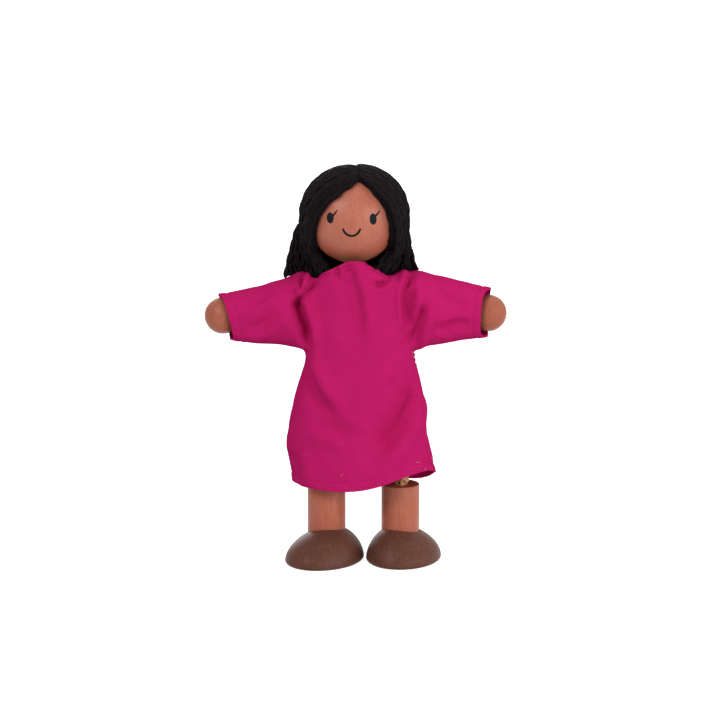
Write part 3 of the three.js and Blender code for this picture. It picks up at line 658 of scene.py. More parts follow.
def make_shoe(name):
    dome = SHOE_HEIGHT - SHOE_WIDEST_Z
    profile = [
        (0, 0), (SOLE_RATIO - 0.02, 0), (SOLE_RATIO, 0.08), (SOLE_RATIO + 0.025, 0.3), (0.992, 0.6)]
    for i in range(DOME_ROWS):
        lift = math.pi / 2 * i / DOME_ROWS
        out, up = (f(lift) ** (2 / DOME_POWER) for f in (math.cos, math.sin))
        profile.append((out, SHOE_WIDEST_Z + dome * up))
    profile.append((0, SHOE_HEIGHT))
    drawing = turn_profile(profile, steps=120)
    leg = leg_places[name]
    turn = Matrix.Rotation(math.radians(SHOE_TURN[name]), 4, "Z")
    for vert in drawing.verts:
        lift = max(0.0, (vert.co.z - SHOE_WIDEST_Z) / dome)
        stretched = Vector((vert.co.x * SHOE_WIDTH / 2, vert.co.y * SHOE_LENGTH / 2, vert.co.z))
        moved = [at + top * lift ** 2 for at, top in zip(SHOE_MIDDLE[name], SHOE_TOP[name])]
        vert.co = turn @ stretched + Vector((leg.x + moved[0], leg.y + moved[1], 0))
    shoe = make_piece(drawing, f"dome_shoe_{name}")

    drill = cylinder(LEG_R + GAP, DRILL_LENGTH, 96)
    bmesh.ops.translate(
        drill, vec=(leg.x, leg.y, SHOE_FLOOR + DRILL_LENGTH / 2), verts=drill.verts)
    cutter = make_piece(drill, "drill")
    modify(shoe, "BOOLEAN", operation="DIFFERENCE", solver="EXACT", object=cutter)
    modify(shoe, "BEVEL", width=0.22 * MM, segments=2, limit_method="ANGLE",
           angle_limit=math.radians(38))
    apply_modifiers(shoe)
    bpy.data.objects.remove(cutter)
    shoe.data.polygons.foreach_set("use_smooth", [True] * len(shoe.data.polygons))
    shoe.data.set_sharp_from_angle(angle=math.radians(50))
    dress(shoe, shoe_wood)
    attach(shoe, f"lower_leg_{name}")
    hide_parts(f"shoe_{name}")
    print(shoe.name, "faces:", len(shoe.data.polygons))


for name in SIDES:
    make_shoe(name)

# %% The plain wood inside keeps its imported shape
for name in ("torso", "neck_peg"):
    dress(frame["nodes"][name], plain_wood)


# %% [markdown]
# ## Tunic, 1: the cotton
#
# The tunic is plain-woven cotton in a strong pink. Close up, the threads cross over and under
# in a fine square grid, so the bump multiplies one wave along the cloth with one across it. The
# waves follow the piece's own UV map, which holds millimetres of cloth, so the weave bends with
# every fold. Cotton is matt, so it has no shine at all, not even at its edges.

# %% Finish: tunic cotton
THREADS_PER_MM = 3.2


made = Finish("tunic_cotton", Roughness=0.95, Specular_IOR_Level=0.0)
DEEP_PINK, PALE_PINK = linear(182, 26, 94), linear(193, 32, 103)
cloth = made.node("UVMap", uv_map="cloth").outputs[0]
split = made.node("SeparateXYZ", {"Vector": cloth})
waves = [made.math("SINE", made.math("MULTIPLY", split.outputs[way], THREADS_PER_MM * math.pi))
         for way in (0, 1)]
weave = made.math("MULTIPLY", *waves)
stretched = made.node("Mapping", {"Vector": cloth, "Scale": (0.25, 5, 1)}).outputs[0]
slub = made.node("TexNoise", {"Vector": stretched, "Scale": 1.0, "Detail": 2.0}).outputs["Fac"]
tone = made.ramp(slub, [(0.3, DEEP_PINK), (0.7, PALE_PINK)])
worn = made.noise(120, detail=3)
tone = made.patches(worn, 0.35, 0.75, 0.35, tone, PALE_PINK)
tone = made.mix(1.0, tone, made.span(weave, 0.93, 1.04, first=-1.0), "MULTIPLY")
normal = made.bump(worn, 0.0003, 0.12, Normal=made.bump(weave, 0.00005, 0.5))
tunic_cotton = made.finish(tone, normal)
print("cotton threads per mm:", THREADS_PER_MM)

# %% [markdown]
# ## Tunic, 2: a cage in the shape of the garment
#
# The real tunic is two T-shaped panels, sewn along the shoulders, the sleeves and the sides.
# It could be simulated from flat panels, but then its folds would fall where they like. Here a
# coarse cage is extruded ring by ring, from the hem up to the neck, and the sleeves are extruded
# from its sides. Subdivision makes it a smooth tube of cloth, and the rings give the hems their
# edges. The half sizes are those of the garment in the photograph.

# %% The garment's outline
COLUMNS = 24
BODY_R = 11.0
UNDERARM_Z = 70.0
SHOULDER_Z = 96.0
SKIRT_TOP_Z = 66.0
HEM_Z = 27  # about half way between its lowest and its highest place

# height, half width, half depth, middle across
BODY_OUTLINE = [
    (22, 23.2, 14.8, 3.1), (29, 24.4, 14.7, 2.3), (34, 24.2, 14.5, 1.4), (39, 23.6, 14.2, 0.6),
    (44, 22.6, 13.9, 0.5), (52, 21.5, 13.6, 0.8), (59, 20.2, 13.3, 1.4), (66, 18.2, 13.0, 1.3),
    (70, 17.6, 12.9, 1.2), (83, 17.0, 12.9, 0.8), (96, 16.6, 12.4, 0.4), (102, 13.0, 12.0, -0.8),
]
# across, height of the hem in front and behind
HEM_FRONT = [(-25, 26.4), (-21.5, 26.0), (-19.2, 25.9), (-13.8, 25.8), (-8, 25.3), (-2.9, 25.1),
             (3, 25.8), (8, 27.2), (13.4, 28.9), (16.1, 29.8), (21.5, 31.0), (26, 31.0)]
HEM_BACK = [(-24, 26.2), (-12, 25.2), (0, 24.6), (10, 23.9), (16, 23.4), (21, 23.9), (24, 24.8),
            (26, 26.5)]
# across, height of the neckline in front and behind
NECK_FRONT = [(-14, 92.6), (-13.1, 93.5), (-12.1, 94.9), (-11.1, 96.0), (-9.5, 96.9), (-8.2, 97.5),
              (-6.9, 98.7), (-5, 99.4), (-2, 100.7), (0.4, 100.9), (2.1, 100.4), (4.0, 99.4),
              (5.6, 98.1), (7.2, 96.6), (8.5, 94.8), (9.6, 93.7), (11, 93.4)]
NECK_BACK = [(-14, 92.6), (-8, 95.0), (0, 95.6), (6, 95.2), (11, 93.4)]
NECK_MIDDLE_X = -2.1
NECK_HALF_WIDTH = 11.6
NECK_HALF_DEPTH = 12.3


def along(points, at, column=1):
    """The eased value at a place in a list of measured points."""
    if at <= points[0][0]:
        return points[0][column]
    for first, last in zip(points, points[1:]):
        if at <= last[0]:
            t = (at - first[0]) / (last[0] - first[0])
            t = 0.5 * t + 0.5 * t * t * (3 - 2 * t)
            return first[column] + (last[column] - first[column]) * t
    return points[-1][column]


def boxy(angle, half_width, half_depth, power):
    """A point on a rounded rectangle, between an ellipse (2) and a box (4)."""
    c, s = math.cos(angle), math.sin(angle)
    return (
        half_width * math.copysign(abs(c) ** (2 / power), c),
        half_depth * math.copysign(abs(s) ** (2 / power), s))


def body_point(angle, z):
    """Where a column of the cage passes a height."""
    power = 2.2 + 0.6 * clamp((z - 40) / 40)
    x, y = boxy(angle, along(BODY_OUTLINE, z, 1), along(BODY_OUTLINE, z, 2), power)
    return Vector((x + along(BODY_OUTLINE, z, 3), y, z))


def edge_height(front, back, x, angle):
    """The height of the hem or the neckline at x: in front, behind or at a side between them."""
    share = 0.5 - 0.5 * clamp(math.sin(angle) * 2.5, -1.0)
    low = along(back, x)
    return low + (along(front, x) - low) * share


def hem_point(angle, above):
    """A point at a distance above the hem, measured along the cloth."""
    x = body_point(angle, HEM_Z).x
    return body_point(angle, edge_height(HEM_FRONT, HEM_BACK, x, angle) + above)


def neck_point(angle, below):
    """A point at a distance below the neckline."""
    x = NECK_MIDDLE_X + NECK_HALF_WIDTH * math.cos(angle)
    z = edge_height(NECK_FRONT, NECK_BACK, x, angle) - below
    return Vector((x, NECK_HALF_DEPTH * math.sin(angle), z))


# %% Rings of the body
def shoulder_point(angle, inward):
    """The ring over the shoulders. Inward 0 is the sleeve's root and 1 the neckline."""
    side = abs(math.cos(angle))
    outer = body_point(angle, SHOULDER_Z - 3.4 * (4 * side * side * (1 - side * side)))
    if side > 0.5:
        outer.x *= 1 + 0.09 * (side - 0.5) * 2
    inner = neck_point(angle, 0)
    inner.z += 1.3 * side ** 4
    return outer.lerp(inner, inward)


def skirt_point(angle, thirds):
    """A point between the hem and the middle of the skirt, by thirds of the way."""
    way = SKIRT_MIDDLE_Z - ABOVE_HEM - hem_point(angle, 0).z
    return hem_point(angle, ABOVE_HEM + way * thirds / 3)


def rings(place, spots):
    """A ring of the cage at each spot, as a function of the angle."""
    return [lambda angle, spot=spot: place(angle, spot) for spot in spots]


HEM_FOLD = 2.6
ABOVE_HEM = 5.2
SKIRT_MIDDLE_Z = 43
body_rings = (
    rings(hem_point, (0, 0.8, HEM_FOLD)) + rings(skirt_point, (0, 1, 2))
    + rings(body_point, (SKIRT_MIDDLE_Z, 48, 53, 57.5, 62, SKIRT_TOP_Z, UNDERARM_Z)))
ROWS_BELOW_ARM = len(body_rings)
body_rings += (
    rings(body_point, (76, 83, 89)) + rings(shoulder_point, (0, 0.34, 0.7))
    + rings(neck_point, (1.0, 0)))
print("rings from hem to neck:", len(body_rings))


# %% Extrude the body, then a sleeve from each side
ARMHOLE_HALF = 3  # columns on each side of the middle of the sleeve's root
SLEEVE_TOP = {
    "left": [(17, 96.4), (20.2, 95.9), (25.9, 94.3), (33.4, 92.4), (41.9, 90.5), (44, 89.8)],
    "right": [(16, 96.2), (18.1, 95.6), (23, 93.6), (34.1, 89.9), (40, 88.4), (42.9, 88.2),
              (45, 88.0)]}
SLEEVE_LOW = {
    "left": [(17, 67.8), (20.5, 69.4), (23, 70.7), (27.5, 71.1), (34.4, 72.6), (41.5, 73.6),
             (44, 74.0)],
    "right": [(16, 68.3), (18.6, 69.8), (22, 71.0), (26, 71.4), (34, 71.9), (40.6, 72.4),
              (44, 72.6)]}
SLEEVE_DEPTH = [(16, 11.6), (24, 10.4), (34, 8.9), (43, 7.6)]
CUFF_X = 42.9
CUFF_LEAN = {"left": 0.06, "right": 0.24}
CUFF_OUT = {"left": 0.8, "right": 0.0}  # how far the cuff's seams reach past its ring
CUFF_FRONT_IN = {"left": 3.5, "right": 2.4}  # how far the front panel's edge lies behind its seams
SHAPED_FROM = 30  # where the cuff's lean begins
ELBOW = 25.0  # the ring between sleeve and cuff
SLEEVE_RINGS = (20.5, 22.7, ELBOW, 28.0, 31.2, 34.4, 37.6, CUFF_X - HEM_FOLD, CUFF_X - 0.8, CUFF_X)
SLEEVE_LEVEL = 100  # the levels of a sleeve start here, those of the body at 0
ROOT_HALF_HEIGHT, ROOT_HALF_DEPTH = 13.5, 11.3  # of the armhole


def sleeve_point(name, x, turn):
    """A point on a sleeve at a distance from the middle, turned about the sleeve's line."""
    top, low = along(SLEEVE_TOP[name], x), along(SLEEVE_LOW[name], x)
    depth = along(SLEEVE_DEPTH, x)
    y, up = boxy(turn, depth, (top - low) / 2, 2.1)
    front_in = CUFF_FRONT_IN[name] * max(0.0, -y / depth) ** 0.6
    shift = CUFF_OUT[name] + CUFF_LEAN[name] * up - front_in
    x += shift * max(0.0, (x - SHAPED_FROM) / (CUFF_X - SHAPED_FROM))
    return Vector((SIDES[name] * x, y, (top + low) / 2 + up))


cage = bmesh.new()
column = cage.verts.layers.float.new("column")
level = cage.verts.layers.float.new("level")
sleeve_turn = cage.verts.layers.float.new("sleeve_turn")


def extrude_ring(edges, number, place):
    """Extrudes a ring of the cage. Its new corners get a level, and go where place says."""
    made = bmesh.ops.extrude_edge_only(cage, edges=edges)["geom"]
    for vert in made:
        if isinstance(vert, bmesh.types.BMVert):
            vert[level] = number
            vert.co = place(vert)
    return [e for e in made if isinstance(e, bmesh.types.BMEdge)]


bmesh.ops.create_circle(cage, segments=COLUMNS, radius=1)
for vert in cage.verts:
    vert[column] = math.atan2(vert.co.y, vert.co.x)
    vert.co = body_rings[0](vert[column])
edges = list(cage.edges)
for k, ring in enumerate(body_rings[1:], 1):
    edges = extrude_ring(edges, k, lambda vert: ring(vert[column]))

half_turn = ARMHOLE_HALF * 2 * math.pi / COLUMNS + 0.01
low_row, top_row = ROWS_BELOW_ARM - 1, ROWS_BELOW_ARM + 3
for name, side in SIDES.items():
    def in_armhole(vert):
        angle = math.remainder((0 if side > 0 else math.pi) - vert[column], 2 * math.pi)
        in_rows = low_row - 0.1 < vert[level] < top_row + 0.1
        return abs(angle) < half_turn and in_rows and vert[sleeve_turn] == 0
    patch = [f for f in cage.faces if all(in_armhole(v) for v in f.verts)]
    around = {e for f in patch for e in f.edges}
    rim = [e for e in around if sum(f in patch for f in e.link_faces) == 1]
    bmesh.ops.delete(cage, geom=patch, context="FACES")
    root_x = SLEEVE_RINGS[0]
    middle = (along(SLEEVE_TOP[name], root_x) + along(SLEEVE_LOW[name], root_x)) / 2
    for vert in {v for e in rim for v in e.verts}:
        vert[sleeve_turn] = math.atan2(
            (vert.co.z - middle) / ROOT_HALF_HEIGHT, vert.co.y / ROOT_HALF_DEPTH)
    for x in SLEEVE_RINGS:
        rim = extrude_ring(
            rim, SLEEVE_LEVEL + x, lambda vert: sleeve_point(name, x, vert[sleeve_turn]))
print("faces of the cage:", len(cage.faces))

# %% Cloth coordinates and parts of the cage
def cloth_across(place, angle, middle, step=math.radians(5)):
    """How far a point lies from the middle of its panel, measured along the cloth."""
    turn = math.remainder(angle - middle, 2 * math.pi)
    count = max(1, round(abs(turn) / step))
    spots = [place(middle + turn * i / count) for i in range(count + 1)]
    return sum((b - a).length for a, b in zip(spots, spots[1:]))


PARTS = ["skirt", "bodice", "sleeve_left", "sleeve_right", "cuff_left", "cuff_right"]
SKIRT_TOP_LEVEL = ROWS_BELOW_ARM - 2
ARM_LINE_Z = 83
cloth_map = cage.loops.layers.uv.new("cloth")
for face in cage.faces:
    levels = [v[level] for v in face.verts]
    spot = face.calc_center_median()
    name = "left" if spot.x > 0 else "right"
    on_sleeve = max(levels) >= SLEEVE_LEVEL
    if on_sleeve:
        cuff = min(levels) > SLEEVE_LEVEL + ELBOW - 0.1
        part = ("cuff_" if cuff else "sleeve_") + name
        middle = math.pi if spot.y < 0 else 0.0
    else:
        part = "skirt" if max(levels) <= SKIRT_TOP_LEVEL + 0.1 else "bodice"
        middle = math.copysign(math.pi / 2, spot.y)
    face.material_index = PARTS.index(part)
    for loop in face.loops:
        vert = loop.vert
        if on_sleeve:
            x = max(SLEEVE_RINGS[0], abs(vert.co.x))
            turn = vert[sleeve_turn]
            far = cloth_across(lambda t: sleeve_point(name, x, t), turn, middle)
            loop[cloth_map].uv = (vert.co.x, ARM_LINE_Z + math.copysign(far, math.sin(turn)))
        else:
            far = cloth_across(body_rings[round(vert[level])], vert[column], middle)
            loop[cloth_map].uv = (math.copysign(far, math.cos(vert[column])), vert.co.z)
face_away(cage, lambda spot: Vector((0, spot.y, 0)))

tunic = add_object("tunic_master", bpy.data.meshes.new("tunic_master"))
cage.to_mesh(tunic.data)
cage.free()
modify(tunic, "SUBSURF", levels=3, render_levels=3)
apply_modifiers(tunic)
print("faces of the smooth tunic:", len(tunic.data.polygons))

# %% [markdown]
# ## Tunic, 3: folds
#
# Folds are what makes it cloth. Each main fold of the photograph is a line on the front panel,
# with a width and a depth: the cloth dips along the line and rises beside it, as pushed fabric
# does. The back has folds of the same kind. Soft noise adds the small unevenness of handled
# cotton, and the seam under the figure's left arm is puckered.

# %% Folds from lines
# Points across and up on the panel, width, depth inwards and rise beside the line. The side that
# rises is the steep one: with a positive rise, the right of someone who walks down the page.
FRONT_FOLDS = [
    ([(-19.8, 90.4), (-17.6, 84.6), (-15.5, 78.0), (-15.0, 70.6)], 1.2, 5.2, 1.9),
    ([(-16.3, 95.0), (-17.9, 90.0)], 0.6, 2.2, 0.8),
    ([(-12.9, 95.4), (-14.6, 92.6), (-16.6, 90.0), (-19.4, 86.2)], 0.8, 2.7, -1.5),
    ([(-3.6, 101.0), (-1.5, 94.2), (0.1, 88.5), (1.1, 81.9), (0.8, 74.4)], 1.8, 2.0, 1.5),
    ([(-6.8, 100.2), (-5.2, 93.2)], 0.9, 1.2, 0.7),
    ([(10.6, 95.2), (9.0, 93.2), (7.4, 92.6), (5.4, 93.6)], 0.7, 2.0, 0.7),
    ([(19.2, 97.4), (17.0, 94.2), (15.6, 91.2), (15.3, 88.0), (16.0, 80.0)], 0.9, 2.2, -1.3),
    ([(18.4, 93.0), (17.8, 85.5), (17.1, 77.0)], 1.1, 2.1, 1.0),
    ([(22.4, 87.0), (19.8, 78.2), (18.2, 71.0)], 1.3, 2.8, 1.3),
    ([(-18.3, 68.6), (-15.5, 62.0), (-12.3, 56.3), (-6.8, 48.8)], 2.1, 2.3, 1.6),
    ([(-15.0, 46.5), (-8.3, 46.0), (-1.6, 43.0)], 1.8, 1.1, -0.8),
    ([(19.2, 61.0), (18.8, 55.6), (15.2, 48.0), (10.0, 41.4), (5.4, 36.4)], 2.7, 4.2, 1.6),
    ([(14.4, 65.0), (5.9, 52.4), (2.9, 43.0)], 2.1, 0.5, -0.7),
    ([(-24, 85), (-30, 79), (-37, 76.5)], 1.6, 1.0, 0.8),
    ([(-26, 91), (-33, 86), (-39, 84)], 1.8, 0.6, 0.5),
    ([(25, 77.5), (31, 79.5), (38, 80)], 1.5, 1.1, 0.8),
    ([(24, 92), (30, 87), (38, 85)], 1.8, 0.7, 0.5),
    ([(-21.0, 38.0), (-19.5, 30.0), (-19.5, 25.0)], 2.2, 1.2, 0.8),
]
BACK_FOLDS = [
    ([(-9, 93), (-8, 80), (-5, 66), (-6, 52)], 2.4, 1.9, 1.0),
    ([(7, 93), (8, 78), (5, 62), (6, 44)], 2.6, 2.0, -1.0),
    ([(0, 90), (-1, 76), (1, 60)], 2.2, 1.3, 0.7),
    ([(-16, 90), (-15.5, 80), (-15, 72)], 1.5, 2.4, 1.1),
    ([(17.5, 90), (17, 80), (16.5, 71)], 1.5, 2.4, -1.1),
    ([(-14, 56), (-12, 40), (-13, 24)], 2.8, 1.9, 1.1),
    ([(0, 50), (1, 38), (0, 22)], 2.8, 1.6, 0.9),
    ([(14, 58), (12, 42), (14, 24)], 2.8, 2.0, -1.2),
]
PUCKER_X, PUCKER_Z = 18.6, 67.6
BODY_FROM_Z = 50  # a little under the wooden body


def eased(t):
    t = np.clip(t, 0, 1)
    return t * t * (3 - 2 * t)


def fold_depth(x, z, points, width, depth, rise):
    """How far a fold moves the cloth outwards at each (x, z)."""
    nearest = np.full(len(x), 1e9)
    aside = np.zeros(len(x))
    run = np.zeros(len(x))
    done = 0.0
    for (ax, az), (bx, bz) in zip(points, points[1:]):
        length = math.dist((ax, az), (bx, bz))
        ux, uz = (bx - ax) / length, (bz - az) / length
        t = np.clip((x - ax) * ux + (z - az) * uz, 0, length)
        dx, dz = x - ax - t * ux, z - az - t * uz
        distance = np.hypot(dx, dz)
        nearer = distance < nearest
        nearest = np.where(nearer, distance, nearest)
        aside = np.where(nearer, (dx * -uz + dz * ux), aside)
        run = np.where(nearer, done + t, run)
        done += length
    share = run / done
    ends = 0.2 + 0.8 * eased(share / 0.22) * eased((1 - share) / 0.3)
    far = np.sign(rise) * aside
    spread = width * np.where(far > 0, 0.85, 1.5)
    valley = -depth * np.exp(-(nearest / spread) ** 2)
    ridge = abs(rise) * np.exp(-((far - 1.9 * width) / (1.3 * width)) ** 2)
    fading = np.exp(-(np.maximum(0, nearest - np.abs(aside)) / width) ** 2)
    return (valley + ridge) * fading * ends


def mesh_normals(mesh):
    return np.array([n.vector for n in mesh.vertex_normals])


spots = np.array([vert.co for vert in tunic.data.vertices])
normals = mesh_normals(tunic.data)
facing = eased(0.5 - normals[:, 1] * 1.6)  # 1 on the front, 0 on the back, eased at the sides
move = np.zeros(len(spots))
for share, folds in ((facing, FRONT_FOLDS), (1 - facing, BACK_FOLDS)):
    for fold in folds:
        move += share * fold_depth(spots[:, 0], spots[:, 2], *fold)
for i, spot in enumerate(spots):
    soft = noise.noise(Vector(spot) / 9.0)
    small = noise.noise(Vector(spot) / 3.5 + Vector((7, 1, 3)))
    move[i] += 0.45 * soft + 0.14 * small
# the side seam under the figure's left arm is puckered
across, up = spots[:, 0] - PUCKER_X, spots[:, 2] - PUCKER_Z
pucker = np.exp(-(across / 1.6) ** 2 - (up / 3.2) ** 2) * np.exp(-(spots[:, 1] / 4.5) ** 2)
move += 0.6 * pucker * np.sin(2 * math.pi * up / 1.75)
spots += normals * move[:, None]

# no fold sinks into the wooden body, which stands upright in the middle
inside = BODY_R + 0.75
top = node_box("torso")[1].z
from_axis = np.hypot(spots[:, 0], spots[:, 1])
beside_body = (spots[:, 2] > BODY_FROM_Z) & (spots[:, 2] < top + 0.5) & (from_axis < inside)
spots[beside_body, :2] *= (inside / from_axis[beside_body])[:, None]
tunic.data.vertices.foreach_set("co", spots.ravel())
tunic.data.update()
print("deepest fold in mm:", round(float(-move.min()), 2),
      "held off the body:", int(beside_body.sum()))

# %% [markdown]
# ## Tunic, 4: thickness and hems
#
# Solidify gives the cotton its thickness, towards the inside, so the outline stays. At the hem
# and the cuffs the edge is folded under and sewn, so there the inside is moved in once more. A
# row of stitches pulls a faint groove along the fold's inner edge.

# %% Distance from the free edges
CLOTH = 0.42
SINGLE_SHARE = 0.55  # of the folded hem's thickness
HEM_WIDTH = {"hem": 2.6, "cuff_left": 2.6, "cuff_right": 2.6, "neck": 1.4}
STITCH_WIDTH, STITCH_DEPTH, HEM_SWELL = 0.38, 0.14, 0.12
drawing = bmesh.new()
drawing.from_mesh(tunic.data)


def edge_loops(edges):
    """Groups edges into connected loops."""
    left = set(edges)
    loops = []
    while left:
        group = [left.pop()]
        for edge in group:
            for vert in edge.verts:
                for nxt in vert.link_edges:
                    if nxt in left:
                        left.remove(nxt)
                        group.append(nxt)
        loops.append(group)
    return loops


def centre(loop):
    return sum((edge.verts[0].co for edge in loop), Vector()) / len(loop)


def distance_finder(loop):
    """A function that says how far a place is from a loop of edges."""
    ends = [[vert.co for vert in edge.verts] for edge in loop]
    spots = [a.lerp(b, t) for a, b in ends for t in (0, 0.25, 0.5, 0.75, 1)]
    tree = KDTree(len(spots))
    for i, spot in enumerate(spots):
        tree.insert(spot, i)
    tree.balance()
    return lambda spot: tree.find(spot)[2]


hem_distance = {}
for loop in edge_loops([e for e in drawing.edges if e.is_boundary]):
    middle = centre(loop)
    if abs(middle.x) > CUFF_X / 2:
        key = "cuff_left" if middle.x > 0 else "cuff_right"
    else:
        key = "hem" if middle.z < SKIRT_TOP_Z else "neck"
    hem_distance[key] = distance_finder(loop)
print("free edges:", sorted(hem_distance))


def nearest_hem(spot):
    """The closest free edge and how far away it is, in widths of its hem."""
    return min((find(spot) / HEM_WIDTH[key], key) for key, find in hem_distance.items())


for vert in drawing.verts:
    share, key = nearest_hem(vert.co)
    pull = math.exp(-((share - 1) * HEM_WIDTH[key] / STITCH_WIDTH) ** 2)
    swell = HEM_SWELL if share < 1 else 0.0
    vert.co += vert.normal * (swell * (1 - pull) - STITCH_DEPTH * pull)

# %% Thickness with a folded hem
drawing.to_mesh(tunic.data)
drawing.free()
thickness = tunic.vertex_groups.new(name="thickness")
for vert in tunic.data.vertices:
    folded = nearest_hem(vert.co)[0] < 1.0
    thickness.add([vert.index], 1.0 if folded else SINGLE_SHARE, "REPLACE")
modify(tunic, "SOLIDIFY", thickness=CLOTH / SINGLE_SHARE, offset=-1, use_even_offset=False,
       vertex_group=thickness.name)
apply_modifiers(tunic)
print("faces with thickness:", len(tunic.data.polygons))

# %% [markdown]
# ## Tunic, 5: one garment, six moving parts
#
# Cloth bends where the ropes inside it bend. A piece can be blended between two bodies only, so
# the garment is parted along rings that don't bend: above the skirt, round each armhole and at
# each elbow. The shading of the whole garment is kept on every part, so no line shows. Each
# part is then closed along its cut, where it touches its neighbour.

# %% Part the garment
whole_normals = mesh_normals(tunic.data)
whole = bmesh.new()
whole.from_mesh(tunic.data)
kept_normal = whole.verts.layers.float_vector.new("kept_normal")
for vert in whole.verts:
    vert[kept_normal] = Vector(whole_normals[vert.index])


def part_of_garment(name):
    """One moving part of the tunic, closed along its cuts, shaded as in the whole."""
    drawing = whole.copy()
    layer = drawing.verts.layers.float_vector["kept_normal"]
    index = PARTS.index(name)
    others = [f for f in drawing.faces if f.material_index != index]
    bmesh.ops.delete(drawing, geom=others, context="FACES")
    loops = edge_loops([e for e in drawing.edges if e.is_boundary])
    cuts = 0
    while loops:
        first = loops.pop()
        mate = min(loops, key=lambda other: (centre(other) - centre(first)).length)
        loops.remove(mate)
        bmesh.ops.bridge_loops(drawing, edges=first + mate)
        cuts += 1
    bmesh.ops.recalc_face_normals(drawing, faces=drawing.faces)
    for face in drawing.faces:
        face.material_index = 0
    drawing.verts.index_update()
    shading = [tuple(v[layer]) for v in drawing.verts]
    part = make_piece(drawing, f"cotton_{name}")
    dress(part, tunic_cotton)
    part.data.normals_split_custom_set_from_vertices(shading)
    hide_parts(f"tunic_{name}")
    print(part.name, "faces:", len(part.data.polygons), "cuts:", cuts)
    return part


tunic_parts = {name: part_of_garment(name) for name in PARTS}
whole.free()
bpy.data.objects.remove(tunic)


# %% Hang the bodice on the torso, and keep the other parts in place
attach(tunic_parts["bodice"], "torso")
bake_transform(tunic_parts["skirt"])
for name, side in SIDES.items():
    sleeve, cuff = tunic_parts[f"sleeve_{name}"], tunic_parts[f"cuff_{name}"]
    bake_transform(sleeve)
    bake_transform(cuff)
print("parts of the tunic that bend:", len(tunic_parts) - 1)

# %% A loop over the parts that does nothing
for name, part in tunic_parts.items():
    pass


# %% [markdown]
# ## Rope and wire
#
# The arms and thighs are a golden braided cord with a soft steel wire inside, which keeps the
# pose. A braid is eight bundles of thread: four wind one way and four the other, over and under
# each other. Every bundle is a thin tube along a wave round the cord's line, so the rope is made
# of curves with a round bevel, turned into a mesh at the end.

# %% Finish: golden cord, and steel wire
golden_cord = speckled(
    "golden_cord", 2600,
    [(0.32, linear(146, 98, 56)), (0.5, linear(204, 152, 96)), (0.68, linear(240, 200, 146))],
    (0.0001, 0.6), detail=3, patches=(500, 0.4, linear(170, 112, 68)),
    Roughness=0.55, Sheen_Weight=0.3, Sheen_Roughness=0.35)
soft_steel = speckled(
    "soft_steel", (3000, 3000, 150), [(0.3, linear(140, 140, 138)), (0.7, linear(176, 176, 172))],
    (0.00001, 0.5), shine=(0.28, 0.45), Metallic=1.0)


# %% Smooth lines and strands
def smooth_line(points, step=0.45):
    """Evenly spaced points, about a step apart, on a smooth line through the given points."""
    points = [Vector(p) for p in points]
    padded = [points[0] * 2 - points[1]] + points + [points[-1] * 2 - points[-2]]
    fine = []
    for a, b, c, d in zip(padded, padded[1:], padded[2:], padded[3:]):
        count = max(2, round((c - b).length / step))
        for i in range(count):
            t = i / count
            fine.append(0.5 * (
                2 * b + (c - a) * t + (2 * a - 5 * b + 4 * c - d) * t * t
                + (3 * b - a - 3 * c + d) * t ** 3))
    return fine + [points[-1]]


def frames_along(line, first_side):
    """At each point of a line, two directions across it that don't twist."""
    side = Vector(first_side)
    frames = []
    for i in range(len(line)):
        ahead = heading(line, i).normalized()
        side = (side - ahead * side.dot(ahead)).normalized()
        frames.append((side.copy(), ahead.cross(side)))
    return frames


def strand_piece(name, strands, finish, sides=6):
    """One mesh from many round strands. A strand is (points, radii), in millimetres."""
    curve = bpy.data.curves.new(name, "CURVE")
    curve.dimensions = "3D"
    curve.bevel_depth = MM
    curve.bevel_resolution = (sides - 4) // 2
    curve.use_fill_caps = True
    for points, radii in strands:
        spline = curve.splines.new("POLY")
        spline.points.add(len(points) - 1)
        for target, spot, radius in zip(spline.points, points, radii):
            target.co = (*(spot * MM), 1)
            target.radius = radius
    drawn = add_object(name, curve)
    mesh = final_mesh(drawn)
    bpy.data.objects.remove(drawn)
    mesh.polygons.foreach_set("use_smooth", [True] * len(mesh.polygons))
    piece = add_object(name, mesh)
    dress(piece, finish)
    return piece


# %% A braided length of rope
ROPE_R = 2.2
WIRE_R = 0.6
STRAND_R = 0.62
BUNDLES = 8
BRAID_PITCH = 8.0  # along the rope, for one turn of a bundle
BRAID_WAVE = 0.26  # how far a bundle rises over another, and dips under the next
BRAID_R = ROPE_R - STRAND_R - 0.12


def braid(line, first_side):
    """Points and radius of the strands and of the core. They go over and under, four each way."""
    frames = frames_along(line, first_side)
    done = [0.0]
    for a, b in zip(line, line[1:]):
        done.append(done[-1] + (b - a).length)
    strands = [(line, ROPE_R - 2 * STRAND_R + 0.1)]
    for k in range(BUNDLES):
        way = 1 if k % 2 else -1
        start = 2 * math.pi * (k // 2) / 4 + (math.pi / 4 if way > 0 else 0)
        points = []
        for spot, (u, v), run in zip(line, frames, done):
            turn = 2 * math.pi * run / BRAID_PITCH
            reach = BRAID_R - way * BRAID_WAVE * math.cos(4 * turn)
            turn = start + way * turn
            points.append(spot + (u * math.cos(turn) + v * math.sin(turn)) * reach)
        strands.append((points, STRAND_R))
    return strands


# %% Arm rope
ARM_Z = 86.0
arm_line = smooth_line([
    (-42, 0, ARM_Z - 4.93), (-27, 0, ARM_Z - 2.38), (-20, 0, ARM_Z - 1.19), (-13, 0, ARM_Z),
    (0, 0, ARM_Z), (13, 0, ARM_Z), (20, 0, ARM_Z - 1.0), (27, 0, ARM_Z - 2.0),
    (42, 0, ARM_Z - 4.15)])


